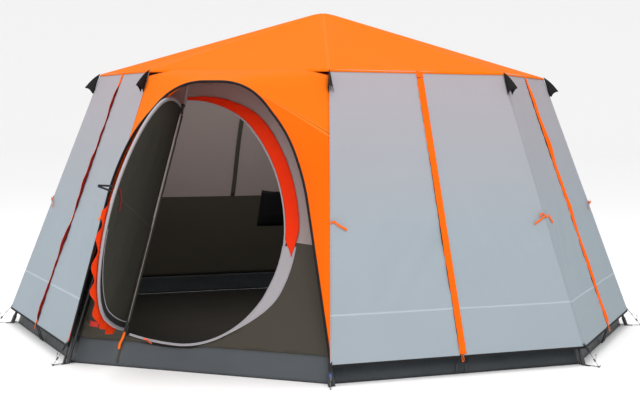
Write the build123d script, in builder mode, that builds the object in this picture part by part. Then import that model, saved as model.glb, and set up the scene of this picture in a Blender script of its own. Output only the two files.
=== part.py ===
from build123d import *
import math
import os

# Octagonal frame tent with a hinged door. Millimetres, +Z up. The origin is the centre of the floor's
# underside, and the door side faces -Y. Turns are degrees about +Z, counted from the door side towards +X.

os.makedirs("parts", exist_ok=True)

# ---- Driving dimensions: the shell ---------------------------------------------------------------
SIDES = 8
FLOOR_WIDTH = 3960              # across the flats of the floor
SHOULDER_RADIUS = 1556          # corner radius of the fly where the walls meet the roof
SHOULDER_HEIGHT = 1758
APEX_HEIGHT = 2207
HEM_RADIUS = 2189               # corner radius of the fly at its lower hem
HEM_HEIGHT = 120
INNER_SHOULDER_RADIUS = 1480
INNER_SHOULDER_HEIGHT = 1700
INNER_APEX_HEIGHT = 2100
BATHTUB_HEIGHT = 145            # top of the heavy groundsheet turned up round the walls
SEAM_HEIGHT = 1360              # where the porch's top panel ends on the front corner edges

CLOTH = 1.5                     # thickness of every cloth solid
SEAM_GAP = 2                    # each cloth piece stops this far short of its seam line
GROUND_SHEET = 3

# ---- Driving dimensions: the frame ---------------------------------------------------------------
LEG_INSET = 50                  # leg axis behind the fly's corner edge, measured level
LEG_RADIUS = 9.5
TUBE_WALL = 1.0
LEG_SPLIT_HEIGHT = 880          # the lower leg plugs into the upper one here
SPIGOT_LENGTH = 60
FIT_CLEARANCE = 0.08
ROOF_POLE_RADIUS = 6.25
ROOF_POLE_DROP = 22             # pole axis below the fly's ridge
FERRULE_RADIUS = 7.6
FERRULE_LENGTH = 90
ELBOW_REACH = 62
HUB_RADIUS = 58
HUB_HEIGHT = 42
HUB_SOCKET_START = 30
FOOT_RADIUS = 13
FOOT_LENGTH = 42
EYE_RADIUS = 4                  # peg eye in the tongue of each foot
EYE_DISTANCE = 2222             # peg eyes from the tent's axis
TONGUE_THICKNESS = 4
CAP_RISE = 12
CAP_RADIUS = 44
ELBOW_RADIUS = 12.5
ELBOW_POLE_RADIUS = 10
LEG_START_HEIGHT = 16
SWAGE_LENGTH = 10

# ---- Driving dimensions: the porch arch ----------------------------------------------------------
ARCH_POLE_RADIUS = 5
ARCH_FOOT_Y = -2022
ARCH_LEAN = 0.140               # the arch leans back this much for each unit of height
ARCH_CORNERS = ((860, 0), (612, 1120), (498, 1380), (230, 1680))
ARCH_SHOE_RADIUS = 8
ARCH_SHOE_LENGTH = 64
ARCH_SHOE_RUN_PAST = 20           # the shoe is drawn this far below the ground, then cut level
ARCH_STOP_HEIGHT = 14
PORCH_SETBACK = 9               # porch cloth stops this far short of the arch pole's axis
PORCH_GAP = 5
PORCH_FOOT_HEIGHT = 220         # porch cloth ends here, where the arch pole nears the corner edge

# ---- Driving dimensions: the door ----------------------------------------------------------------
HINGE_FOOT_AT = (-504, 235)     # x and height of the hinge's foot, in the front wall
HINGE_HEAD_AT = (-371, 1550)
DOOR_OPEN_TURN = 77             # the leaf stands this far open
OPENING_START = (1430, 9.4)     # height above the hinge's foot, and heading above level
OPENING_ARCS = ((617, 49.4), (1121, 34.8), (672, 46.8), (552, 54.9), (1660, 10.9))
LEAF_START = (1376, 9.3)
LEAF_ARCS = ((608, 49.9), (1074, 34.6), (696, 45.7), (441, 54.0), (1750, 12.7))
POST_RADIUS = 8
POST_SLOT = 15                  # half width of the slot in the wall that the post stands in
STILE_OFFSET = 27               # leaf's straight rod, from the hinge axis
ROD_RADIUS = 4.5
HOOP_INSET = 10                 # leaf's curved rod, inside the leaf's outline
ZIP_TAPE_WIDTH = 20
STORM_FLAP_WIDTH = 58
FIXED_FLAP_END = 470            # the fixed storm flap covers the zip above this height
LEAF_FLAP_END = 600             # the leaf's storm flap covers the zip below this height
FITTING_HEIGHTS = (-40, 1350)   # lower ends of the two hinge fittings, from the hinge's foot
FITTING_LENGTH = 34
POST_BOTTOM = -234              # along the hinge axis, from the hinge's foot
POST_TOP = 1556
COLLAR_RADIUS = 13
COLLAR_LENGTH = 14
FITTING_GAP = 1
FITTING_HALF_DEPTH = 11
STRAP_ROOT = (842, 622, 15)     # webbing loop at the leaf's free edge, in the leaf's plane
PATCH_AT = (-215, -30)          # middle of the sewn patch, in the front wall's plane
PATCH_SIZE = (62, 34)
STRAP_SPREAD = 16
STRAP_REACH = 88
STRAP_BAND = 5
FIXED_FLAP_LIFT = 8
LEAF_FLAP_LIFT = 12

# ---- Driving dimensions: fly panels and trim -----------------------------------------------------
STRIP_WIDTH = 45                # storm strip over each panel's zip
STRIP_LIFT = 3
SLIDER_SIZE = (12, 28, 4)
TIE_HEIGHT = 870
TIE_SIZE = (95, 13)
HOOD_TIP = (1662, 1666)         # radius and height of the hood's tip
HOOD_FOOT_HEIGHT = 1624
HOOD_SPREAD = 34
GUY_TOP = (2196, 114)           # radius and height of the webbing at the hem's corner
GUY_FOOT = (2284, 11)
PEG_RADIUS = 3
PEG_START = 2236
PEG_END = 2304
PANEL_GAP = (-24, 8)            # zip-side edges of a panel's two flaps, from the zip's middle line
FOLD_INSET = 90                 # the fold line ends this far along the hem from the corner
STRIP_TOP_GAP = 46              # the storm strip starts this far below the eave
STRIP_WEB = (12, 22.5)          # where the strip is sewn to its flap
PANEL_NAMES = [f"panel_{number}" for number in range(1, SIDES)]
TIE_DROOP = 25
TIE_REACH = 62

# ---- Driving dimensions: inner tent clips and ground hardware ------------------------------------
HOOK_HEIGHTS = (420, 980, 1500)
HOOK_RING_RADIUS = 13
HOOK_RING_LENGTH = 12
STRAP_SIZE = (18, 2)            # webbing at the hem's corners
STRAP_LENGTH = 40
LINE_RADIUS = 1.3
RUNNER_START = 92
RUNNER_SIZE = (10, 8, 16)
PEG_HEAD_RADIUS = 4.5
PEG_HEAD_LENGTH = 14
HOOK_SPREAD = 30
HOOK_CORD_RADIUS = 2

# ---- Derived values ------------------------------------------------------------------------------
SIDE_TURN = 360 / SIDES
HALF_TURN = SIDE_TURN / 2
FLAT_RATIO = math.cos(math.radians(HALF_TURN))
CORNER_TURNS = [SIDE_TURN * (index + 0.5) for index in range(SIDES)]
SIDE_TURNS = [SIDE_TURN * index for index in range(SIDES)]
PANEL_TURNS = SIDE_TURNS[1:]
FLOOR_RADIUS = FLOOR_WIDTH / 2 / FLAT_RATIO
WALL_LEAN = (HEM_RADIUS - SHOULDER_RADIUS) / (SHOULDER_HEIGHT - HEM_HEIGHT)
INNER_LEAN = (FLOOR_RADIUS - INNER_SHOULDER_RADIUS) / INNER_SHOULDER_HEIGHT
ROOF_SLOPE = (APEX_HEIGHT - SHOULDER_HEIGHT) / SHOULDER_RADIUS
TENT_MIDDLE = Vector(0, 0, SHOULDER_HEIGHT / 2)
POLE_APEX = APEX_HEIGHT - ROOF_POLE_DROP


# ---- Lines of the shell --------------------------------------------------------------------------
def fly_radius(height):
    """Corner radius of the fly's walls at a height."""
    return SHOULDER_RADIUS + (SHOULDER_HEIGHT - height) * WALL_LEAN


def leg_radius(height):
    """Distance of a leg's axis from the tent's axis at a height."""
    return fly_radius(height) - LEG_INSET


def inner_radius(height):
    """Corner radius of the inner tent's walls at a height."""
    return FLOOR_RADIUS - height * INNER_LEAN


def polar(turn, radius, height):
    """A point at a turn from the door side."""
    angle = math.radians(turn)
    return Vector(radius * math.sin(angle), -radius * math.cos(angle), height)


def on_fly(turn, height):
    return polar(turn, fly_radius(height), height)


def on_inner(turn, height):
    return polar(turn, inner_radius(height), height)


def on_leg(turn, height):
    return polar(turn, leg_radius(height), height)


def on_roof_pole(turn, radius):
    return polar(turn, radius, POLE_APEX - radius * ROOF_SLOPE)


def along(start, end, distance):
    """The point this far from start towards end."""
    return start + (end - start).normalized() * distance


def leg_top_height():
    """Height at which a leg's axis meets its roof pole's axis."""
    foot_radius = leg_radius(0)
    return (POLE_APEX - foot_radius * ROOF_SLOPE) / (1 - WALL_LEAN * ROOF_SLOPE)


# ---- Shared profiles -----------------------------------------------------------------------------
def cloth(*corners, gap=SEAM_GAP):
    """Outer face of a flat piece of cloth with these corners, cut back from its seams by a gap."""
    first, second, third = corners[:3]
    normal = (second - first).cross(third - second)
    if normal.dot(first - TENT_MIDDLE) < 0:
        normal = -normal
    plane = Plane(first, x_dir=second - first, z_dir=normal)
    outline = [plane.to_local_coords(point) for point in corners]
    with BuildSketch(plane, mode=Mode.PRIVATE) as piece:
        with BuildLine():
            Polyline(*[(point.X, point.Y) for point in outline], close=True)
        make_face()
        offset(amount=-gap, kind=Kind.INTERSECTION)
    return piece.sketch


def round_section(start, end, radius, bore=0):
    """Round section of a rod or tube at start, facing end."""
    with BuildSketch(Plane(start, z_dir=end - start), mode=Mode.PRIVATE) as section:
        Circle(radius)
        if bore:
            Circle(bore, mode=Mode.SUBTRACT)
    return section.sketch


def panel_plane(turn):
    """Outer face of a fly panel: origin at the hem's middle, x to the right, y up the zip, z outward."""
    angle = math.radians(turn)
    hem = polar(turn, HEM_RADIUS * FLAT_RATIO, HEM_HEIGHT)
    eave = polar(turn, SHOULDER_RADIUS * FLAT_RATIO, SHOULDER_HEIGHT)
    level = Vector(math.cos(angle), math.sin(angle), 0)
    return Plane(hem, x_dir=level, z_dir=level.cross(eave - hem))


def on_front_wall(x, height):
    """A point of the inner tent's front wall."""
    return Vector(x, -inner_radius(height) * FLAT_RATIO, height)


HINGE_FOOT = on_front_wall(*HINGE_FOOT_AT)
HINGE_AXIS = (on_front_wall(*HINGE_HEAD_AT) - HINGE_FOOT).normalized()


def door_plane(open_turn, lift=0):
    """Plane of the door leaf, turned about the hinge axis: x away from the hinge, y up it, z outward."""
    closed_normal = Vector(1, 0, 0).cross(HINGE_AXIS).normalized()
    closed_x = HINGE_AXIS.cross(closed_normal)
    angle = math.radians(open_turn)
    away = closed_x * math.cos(angle) + closed_normal * math.sin(angle)
    plane = Plane(HINGE_FOOT, x_dir=away, z_dir=away.cross(HINGE_AXIS))
    return plane.offset(lift)


def door_curve(start, arcs, inset=0, x_start=0):
    """Curved edge of the door as tangent arcs from the top of the hinge round to its foot."""
    height, heading = start
    skipped = math.degrees(math.asin(x_start / arcs[0][0]))
    first_radius, first_turn = arcs[0]
    angle = math.radians(heading)
    centre = Vector(first_radius * math.sin(angle), height - first_radius * math.cos(angle))
    heading -= skipped
    angle = math.radians(heading)
    radius = first_radius - inset
    point = centre + Vector(-radius * math.sin(angle), radius * math.cos(angle))
    turns = [first_turn - skipped] + [turn for _, turn in arcs[1:]]
    with BuildLine(mode=Mode.PRIVATE) as curve:
        for (arc_radius, _), turn in zip(arcs, turns):
            angle = math.radians(heading)
            arc = JernArc(point, (math.cos(angle), math.sin(angle)), arc_radius - inset, -turn)
            point = arc @ 1
            heading -= turn
    return curve.line


def door_outline(start, arcs, amount=0):
    """Face inside the door's curved edge and its hinge line, grown by an amount, in the plane z = 0."""
    with BuildSketch(mode=Mode.PRIVATE) as shape:
        with BuildLine():
            curve = door_curve(start, arcs)
            add(curve)
            Polyline(curve @ 1, (0, (curve @ 1).Y), curve @ 0)
        make_face()
        if amount:
            offset(amount=amount)
    return shape.sketch


# ---- Roof hub, roof poles and shoulder elbows ----------------------------------------------------
HUB_TOP = POLE_APEX - HUB_SOCKET_START * ROOF_SLOPE + 1.3 * ROOF_POLE_RADIUS
HUB_BOTTOM = HUB_TOP - HUB_HEIGHT
POLE_OUTER_RADIUS = leg_radius(leg_top_height()) - 14
POLE_MIDDLE_RADIUS = POLE_OUTER_RADIUS / 2

with BuildPart() as roof_hub:
    with BuildSketch(Plane.XY.offset(HUB_BOTTOM)):
        Circle(HUB_RADIUS)
    extrude(amount=HUB_HEIGHT)
    chamfer(roof_hub.faces().sort_by(Axis.Z)[0].edges(), 10)
    for turn in CORNER_TURNS:
        inner_end = on_roof_pole(turn, HUB_SOCKET_START)
        outer_end = on_roof_pole(turn, HUB_RADIUS + 20)
        bore = round_section(inner_end, outer_end, ROOF_POLE_RADIUS + FIT_CLEARANCE)
        extrude(bore, amount=(outer_end - inner_end).length, mode=Mode.SUBTRACT)
    with BuildSketch(Plane.XY.offset(HUB_BOTTOM)):
        Circle(12)
    extrude(amount=HUB_HEIGHT / 3, mode=Mode.SUBTRACT)
roof_hub.part.label = "roof_hub"

with BuildPart() as hub_cap:
    dome_radius = (CAP_RADIUS**2 + CAP_RISE**2) / (2 * CAP_RISE)
    with Locations((0, 0, HUB_TOP + CAP_RISE - dome_radius)):
        Sphere(dome_radius)
    split(bisect_by=Plane.XY.offset(HUB_TOP), keep=Keep.TOP)
hub_cap.part.label = "hub_cap"

with BuildPart() as roof_poles:
    for turn in CORNER_TURNS:
        stops = [HUB_SOCKET_START + 1, POLE_MIDDLE_RADIUS - 1, POLE_MIDDLE_RADIUS + 1, POLE_OUTER_RADIUS]
        for inner_stop, outer_stop in (stops[:2], stops[2:]):
            inner_end = on_roof_pole(turn, inner_stop)
            outer_end = on_roof_pole(turn, outer_stop)
            rod = round_section(inner_end, outer_end, ROOF_POLE_RADIUS)
            extrude(rod, amount=(outer_end - inner_end).length)
roof_poles.part.label = "roof_poles"

with BuildPart() as pole_ferrules:
    for turn in CORNER_TURNS:
        middle = on_roof_pole(turn, POLE_MIDDLE_RADIUS)
        start = along(middle, on_roof_pole(turn, 0), FERRULE_LENGTH / 2)
        sleeve = round_section(start, middle, FERRULE_RADIUS, ROOF_POLE_RADIUS + FIT_CLEARANCE)
        extrude(sleeve, amount=FERRULE_LENGTH)
pole_ferrules.part.label = "pole_ferrules"

with BuildPart() as shoulder_elbows:
    for turn in CORNER_TURNS:
        bend = on_leg(turn, leg_top_height())
        leg_end = along(bend, on_leg(turn, 0), ELBOW_REACH)
        pole_end = along(bend, on_roof_pole(turn, 0), ELBOW_REACH)
        extrude(round_section(bend, leg_end, ELBOW_RADIUS), amount=ELBOW_REACH)
        extrude(round_section(bend, pole_end, ELBOW_POLE_RADIUS), amount=ELBOW_REACH)
        with Locations(bend):
            Sphere(ELBOW_RADIUS)
    for turn in CORNER_TURNS:
        bend = on_leg(turn, leg_top_height())
        leg_start = along(bend, on_leg(turn, 0), 14)
        pole_start = along(bend, on_roof_pole(turn, 0), 14)
        leg_bore = round_section(leg_start, on_leg(turn, 0), LEG_RADIUS + FIT_CLEARANCE)
        pole_bore = round_section(pole_start, on_roof_pole(turn, 0), ROOF_POLE_RADIUS + FIT_CLEARANCE)
        extrude(leg_bore, amount=ELBOW_REACH, mode=Mode.SUBTRACT)
        extrude(pole_bore, amount=ELBOW_REACH, mode=Mode.SUBTRACT)
shoulder_elbows.part.label = "shoulder_elbows"

# ---- Legs and feet -------------------------------------------------------------------------------
SPIGOT_RADIUS = LEG_RADIUS - TUBE_WALL - FIT_CLEARANCE

with BuildPart() as leg_tubes_upper:
    for turn in CORNER_TURNS:
        start = on_leg(turn, LEG_SPLIT_HEIGHT)
        bend = on_leg(turn, leg_top_height())
        tube = round_section(start, bend, LEG_RADIUS, LEG_RADIUS - TUBE_WALL)
        extrude(tube, amount=(bend - start).length - 16)
leg_tubes_upper.part.label = "leg_tubes_upper"

with BuildPart() as leg_tubes_lower:
    for turn in CORNER_TURNS:
        start = on_leg(turn, LEG_START_HEIGHT)
        end = on_leg(turn, LEG_SPLIT_HEIGHT)
        length = (end - start).length
        bore = SPIGOT_RADIUS - TUBE_WALL
        neck = along(end, start, SWAGE_LENGTH)
        extrude(round_section(start, end, LEG_RADIUS, LEG_RADIUS - TUBE_WALL), amount=length - SWAGE_LENGTH)
        extrude(round_section(neck, end, LEG_RADIUS, bore), amount=SWAGE_LENGTH - FIT_CLEARANCE)
        extrude(round_section(neck, end, SPIGOT_RADIUS, bore), amount=SWAGE_LENGTH + SPIGOT_LENGTH)
leg_tubes_lower.part.label = "leg_tubes_lower"

with BuildPart() as leg_feet:
    for turn in CORNER_TURNS:
        centre = on_leg(turn, LEG_START_HEIGHT)
        below = along(centre, on_leg(turn, HEM_HEIGHT), -2 * LEG_START_HEIGHT)
        extrude(round_section(below, centre, FOOT_RADIUS), amount=2 * LEG_START_HEIGHT + FOOT_LENGTH)
        tongue_middle = (leg_radius(0) + EYE_DISTANCE + 10) / 2
        tongue_length = EYE_DISTANCE + 10 - leg_radius(0)
        tongue_plane = Plane(polar(turn, tongue_middle, 0), x_dir=polar(turn, 1, 0))
        with BuildSketch(tongue_plane):
            RectangleRounded(tongue_length, 2 * FOOT_RADIUS - 4, 6)
        extrude(amount=TONGUE_THICKNESS)
    split(bisect_by=Plane.XY, keep=Keep.TOP)
    for turn in CORNER_TURNS:
        start = on_leg(turn, LEG_START_HEIGHT)
        socket = round_section(start, on_leg(turn, HEM_HEIGHT), LEG_RADIUS + FIT_CLEARANCE)
        extrude(socket, amount=2 * FOOT_LENGTH, mode=Mode.SUBTRACT)
        with BuildSketch(Plane(polar(turn, EYE_DISTANCE, 0))):
            Circle(EYE_RADIUS)
        extrude(amount=TONGUE_THICKNESS, mode=Mode.SUBTRACT)
leg_feet.part.label = "leg_feet"

# ---- Porch arch ----------------------------------------------------------------------------------


def arch_plane():
    """Plane of the porch arch: x level, y up the arch, z towards the viewer in front of the door."""
    return Plane((0, ARCH_FOOT_Y, 0), x_dir=(1, 0, 0), z_dir=(0, -1, ARCH_LEAN))


def arch_point(x, height):
    return Vector(x, ARCH_FOOT_Y + ARCH_LEAN * height, height)


def corner_radius(before, corner, after):
    """Largest comfortable arc at a corner of the arch's outline."""
    shorter = min((corner - before).length, (after - corner).length)
    half_turn = math.radians((corner - before).get_angle(after - corner)) / 2
    return 0.45 * shorter / math.tan(half_turn)


right_side = [Vector(x, height) for x, height in ARCH_CORNERS]
left_side = [Vector(-x, height) for x, height in reversed(ARCH_CORNERS)]
arch_route = right_side + left_side
lean_stretch = math.sqrt(1 + ARCH_LEAN**2)
arch_route = [Vector(point.X, point.Y * lean_stretch) for point in arch_route]
foot_slope = (arch_route[0] - arch_route[1]).normalized()
arch_route[0] = arch_route[0] - foot_slope * ARCH_STOP_HEIGHT
arch_route[-1] = Vector(-arch_route[0].X, arch_route[0].Y)
arch_radii = [corner_radius(*arch_route[index - 1 : index + 2]) for index in range(1, len(arch_route) - 1)]

with BuildPart() as porch_arch_pole:
    with BuildLine() as arch_line:
        FilletPolyline(*arch_route, radius=arch_radii)
    arch_path = arch_line.line.moved(arch_plane().location)
    with BuildSketch(Plane(arch_path @ 0, z_dir=arch_path % 0)):
        Circle(ARCH_POLE_RADIUS)
    sweep(path=arch_path)
porch_arch_pole.part.label = "porch_arch_pole"

with BuildPart() as porch_arch_feet:
    for side in (-1, 1):
        foot = arch_point(side * ARCH_CORNERS[0][0], 0)
        knee = arch_point(side * ARCH_CORNERS[1][0], ARCH_CORNERS[1][1])
        below = along(foot, knee, -ARCH_SHOE_RUN_PAST)
        extrude(round_section(below, knee, ARCH_SHOE_RADIUS), amount=ARCH_SHOE_LENGTH)
    split(bisect_by=Plane.XY, keep=Keep.TOP)
    for side in (-1, 1):
        foot = arch_point(side * ARCH_CORNERS[0][0], 0)
        knee = arch_point(side * ARCH_CORNERS[1][0], ARCH_CORNERS[1][1])
        start = along(foot, knee, ARCH_STOP_HEIGHT - 1)
        socket = round_section(start, knee, ARCH_POLE_RADIUS + FIT_CLEARANCE)
        extrude(socket, amount=ARCH_SHOE_LENGTH, mode=Mode.SUBTRACT)
porch_arch_feet.part.label = "porch_arch_feet"

# ---- Door post and hinge -------------------------------------------------------------------------


def on_hinge(distance):
    return HINGE_FOOT + HINGE_AXIS * distance


with BuildPart() as door_post:
    section = round_section(on_hinge(POST_BOTTOM), on_hinge(0), POST_RADIUS, POST_RADIUS - TUBE_WALL)
    extrude(section, amount=POST_TOP - POST_BOTTOM)
door_post.part.label = "door_post"

with BuildPart() as door_post_collars:
    for height in FITTING_HEIGHTS:
        for start in (height - FITTING_GAP - COLLAR_LENGTH, height + FITTING_LENGTH + FITTING_GAP):
            ring = round_section(on_hinge(start), on_hinge(POST_TOP), COLLAR_RADIUS, POST_RADIUS + 0.01)
            extrude(ring, amount=COLLAR_LENGTH)
door_post_collars.part.label = "door_post_collars"

HOOP_START = STILE_OFFSET + 8
leaf_plane = door_plane(DOOR_OPEN_TURN)
stile_foot = leaf_plane.from_local_coords((STILE_OFFSET, FITTING_HEIGHTS[0] + 8, 0))
stile_head = leaf_plane.from_local_coords((STILE_OFFSET, FITTING_HEIGHTS[1] + 22, 0))

with BuildPart() as door_leaf_hoop:
    hoop_path = door_curve(LEAF_START, LEAF_ARCS, HOOP_INSET, HOOP_START).moved(leaf_plane.location)
    with BuildSketch(Plane(hoop_path @ 0, z_dir=hoop_path % 0)):
        Circle(ROD_RADIUS)
    sweep(path=hoop_path)
door_leaf_hoop.part.label = "door_leaf_hoop"

with BuildPart() as door_leaf_stile:
    extrude(round_section(stile_foot, stile_head, ROD_RADIUS), amount=(stile_head - stile_foot).length)
door_leaf_stile.part.label = "door_leaf_stile"

with BuildPart() as door_hinge_fittings:
    for height in FITTING_HEIGHTS:
        start = leaf_plane.from_local_coords((STILE_OFFSET / 2, height, 0))
        with BuildSketch(Plane(start, x_dir=leaf_plane.x_dir, z_dir=HINGE_AXIS)):
            SlotCenterToCenter(STILE_OFFSET, 2 * FITTING_HALF_DEPTH)
        extrude(amount=FITTING_LENGTH)
    bore = round_section(on_hinge(POST_BOTTOM), on_hinge(0), POST_RADIUS + FIT_CLEARANCE)
    extrude(bore, amount=POST_TOP - POST_BOTTOM, mode=Mode.SUBTRACT)
    add(door_leaf_stile.part, mode=Mode.SUBTRACT)
    add(door_leaf_hoop.part, mode=Mode.SUBTRACT)
door_hinge_fittings.part.label = "door_hinge_fittings"

LEAF_INSET = HOOP_INSET + ROD_RADIUS + 1
with BuildPart() as door_leaf_panel:
    with BuildSketch(leaf_plane):
        add(door_outline(LEAF_START, LEAF_ARCS, -LEAF_INSET))
        with Locations((STILE_OFFSET + ROD_RADIUS + 1, 0)):
            Rectangle(2000, 4000, align=(Align.MIN, Align.CENTER), mode=Mode.INTERSECT)
    extrude(amount=CLOTH / 2, both=True)
    for height in FITTING_HEIGHTS:
        start = leaf_plane.from_local_coords((STILE_OFFSET, height - 2, 0))
        with BuildSketch(Plane(start, x_dir=leaf_plane.x_dir, z_dir=HINGE_AXIS)):
            Circle(FITTING_HALF_DEPTH + 2)
        extrude(amount=FITTING_LENGTH + 4, mode=Mode.SUBTRACT)
door_leaf_panel.part.label = "door_leaf_panel"

with BuildPart() as door_leaf_storm_flap:
    with BuildSketch(door_plane(DOOR_OPEN_TURN, LEAF_FLAP_LIFT)):
        add(door_outline(LEAF_START, LEAF_ARCS, STORM_FLAP_WIDTH - HOOP_INSET))
        add(door_outline(LEAF_START, LEAF_ARCS, -HOOP_INSET), mode=Mode.SUBTRACT)
        with Locations((STILE_OFFSET + 18, LEAF_FLAP_END)):
            Rectangle(2000, 2000, align=(Align.MIN, Align.MAX), mode=Mode.INTERSECT)
    extrude(amount=CLOTH)
door_leaf_storm_flap.part.label = "door_leaf_storm_flap"

with BuildPart() as door_leaf_strap:
    root = leaf_plane.from_local_coords(STRAP_ROOT)
    with BuildSketch(Plane(root, x_dir=leaf_plane.z_dir, z_dir=leaf_plane.x_dir)):
        with BuildLine():
            Polyline((0, -STRAP_SPREAD), (STRAP_REACH, 0), (0, STRAP_SPREAD), close=True)
        make_face()
        offset(amount=-STRAP_BAND, kind=Kind.INTERSECTION, mode=Mode.SUBTRACT)
    extrude(amount=CLOTH, both=True)
door_leaf_strap.part.label = "door_leaf_strap"

# ---- Inner tent ----------------------------------------------------------------------------------
wall_plane = door_plane(0)


def post_slot(depth=2 * POST_SLOT):
    """Cuts the slot for the door post out of the wall being built."""
    cutter = round_section(on_hinge(POST_BOTTOM - depth), on_hinge(0), POST_SLOT)
    extrude(cutter, amount=POST_TOP - POST_BOTTOM + 5 * depth, mode=Mode.SUBTRACT)


with BuildPart() as inner_front_wall:
    low_left, low_right = (on_inner(turn, BATHTUB_HEIGHT) for turn in (-HALF_TURN, HALF_TURN))
    top_left, top_right = (on_inner(turn, INNER_SHOULDER_HEIGHT) for turn in (-HALF_TURN, HALF_TURN))
    corners = [wall_plane.to_local_coords(point) for point in (low_left, low_right, top_right, top_left)]
    with BuildSketch(wall_plane):
        with BuildLine():
            Polyline(*[(point.X, point.Y) for point in corners], close=True)
        make_face()
        offset(amount=-SEAM_GAP, kind=Kind.INTERSECTION)
        add(door_outline(OPENING_START, OPENING_ARCS, ZIP_TAPE_WIDTH + 1), mode=Mode.SUBTRACT)
    extrude(amount=CLOTH / 2, both=True)
    post_slot()
inner_front_wall.part.label = "inner_front_wall"

with BuildPart() as door_zip_tape:
    with BuildSketch(wall_plane):
        add(door_outline(OPENING_START, OPENING_ARCS, ZIP_TAPE_WIDTH))
        add(door_outline(OPENING_START, OPENING_ARCS), mode=Mode.SUBTRACT)
        add(door_outline(LEAF_START, LEAF_ARCS, ROD_RADIUS + 2 - HOOP_INSET), mode=Mode.SUBTRACT)
        with Locations((POST_SLOT + 2, 0)):
            Rectangle(2000, 4000, align=(Align.MIN, Align.CENTER), mode=Mode.INTERSECT)
    extrude(amount=CLOTH / 2, both=True)
door_zip_tape.part.label = "door_zip_tape"

with BuildPart() as door_fixed_storm_flap:
    with BuildSketch(door_plane(0, FIXED_FLAP_LIFT)):
        add(door_outline(OPENING_START, OPENING_ARCS, STORM_FLAP_WIDTH))
        add(door_outline(OPENING_START, OPENING_ARCS, -HOOP_INSET), mode=Mode.SUBTRACT)
        with Locations((POST_SLOT + 2, FIXED_FLAP_END)):
            Rectangle(2000, 2000, align=(Align.MIN, Align.MIN), mode=Mode.INTERSECT)
    extrude(amount=CLOTH)
door_fixed_storm_flap.part.label = "door_fixed_storm_flap"

with BuildPart() as door_zip_slider:
    with BuildSketch(door_plane(0, CLOTH)):
        with Locations((150, -64)):
            RectangleRounded(26, 11, 3)
    extrude(amount=5)
door_zip_slider.part.label = "door_zip_slider"

with BuildPart() as plain_patch:
    with BuildSketch(door_plane(0, 2)):
        with Locations(PATCH_AT):
            RectangleRounded(*PATCH_SIZE, 4)
    extrude(amount=CLOTH)
plain_patch.part.label = "plain_patch"

with BuildPart() as inner_side_walls:
    for turn in PANEL_TURNS:
        left, right = turn - HALF_TURN, turn + HALF_TURN
        low = [on_inner(left, BATHTUB_HEIGHT), on_inner(right, BATHTUB_HEIGHT)]
        high = [on_inner(right, INNER_SHOULDER_HEIGHT), on_inner(left, INNER_SHOULDER_HEIGHT)]
        extrude(cloth(*low, *high), amount=-CLOTH)
inner_side_walls.part.label = "inner_side_walls"

with BuildPart() as inner_roof:
    for turn in SIDE_TURNS:
        left = on_inner(turn - HALF_TURN, INNER_SHOULDER_HEIGHT)
        right = on_inner(turn + HALF_TURN, INNER_SHOULDER_HEIGHT)
        extrude(cloth(left, right, Vector(0, 0, INNER_APEX_HEIGHT)), amount=-CLOTH)
inner_roof.part.label = "inner_roof"

with BuildPart() as bathtub_walls:
    for turn in SIDE_TURNS:
        left, right = turn - HALF_TURN, turn + HALF_TURN
        low = [on_inner(left, GROUND_SHEET), on_inner(right, GROUND_SHEET)]
        high = [on_inner(right, BATHTUB_HEIGHT), on_inner(left, BATHTUB_HEIGHT)]
        extrude(cloth(*low, *high), amount=-CLOTH)
    post_slot()
    with BuildSketch(wall_plane):
        add(door_outline(OPENING_START, OPENING_ARCS, ZIP_TAPE_WIDTH + SEAM_GAP))
    extrude(amount=3 * CLOTH, both=True, mode=Mode.SUBTRACT)
bathtub_walls.part.label = "bathtub_walls"

with BuildPart() as ground_sheet:
    with BuildSketch():
        RegularPolygon(FLOOR_RADIUS, SIDES, rotation=HALF_TURN)
    extrude(amount=GROUND_SHEET)
ground_sheet.part.label = "ground_sheet"

with BuildPart() as inner_hooks:
    for turn in CORNER_TURNS:
        for height in HOOK_HEIGHTS:
            centre = on_leg(turn, height)
            upper = on_leg(turn, height + HOOK_RING_LENGTH)
            ring = round_section(centre, upper, HOOK_RING_RADIUS, LEG_RADIUS + FIT_CLEARANCE)
            extrude(ring, amount=HOOK_RING_LENGTH)
            arm_start = leg_radius(height + HOOK_RING_LENGTH) - HOOK_RING_RADIUS + 2
            arm_end = inner_radius(height) + 3
            arm_middle = polar(turn, (arm_start + arm_end) / 2, height + 2)
            with BuildSketch(Plane(arm_middle, x_dir=polar(turn, 1, 0))):
                Rectangle(arm_start - arm_end, 7)
            extrude(amount=5)
inner_hooks.part.label = "inner_hooks"

# ---- Fly: roof, porch and fixed parts of the panels ----------------------------------------------
with BuildPart() as fly_roof:
    for turn in SIDE_TURNS:
        left = on_fly(turn - HALF_TURN, SHOULDER_HEIGHT)
        right = on_fly(turn + HALF_TURN, SHOULDER_HEIGHT)
        extrude(cloth(left, right, Vector(0, 0, APEX_HEIGHT)), amount=-CLOTH)
fly_roof.part.label = "fly_roof"

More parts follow.
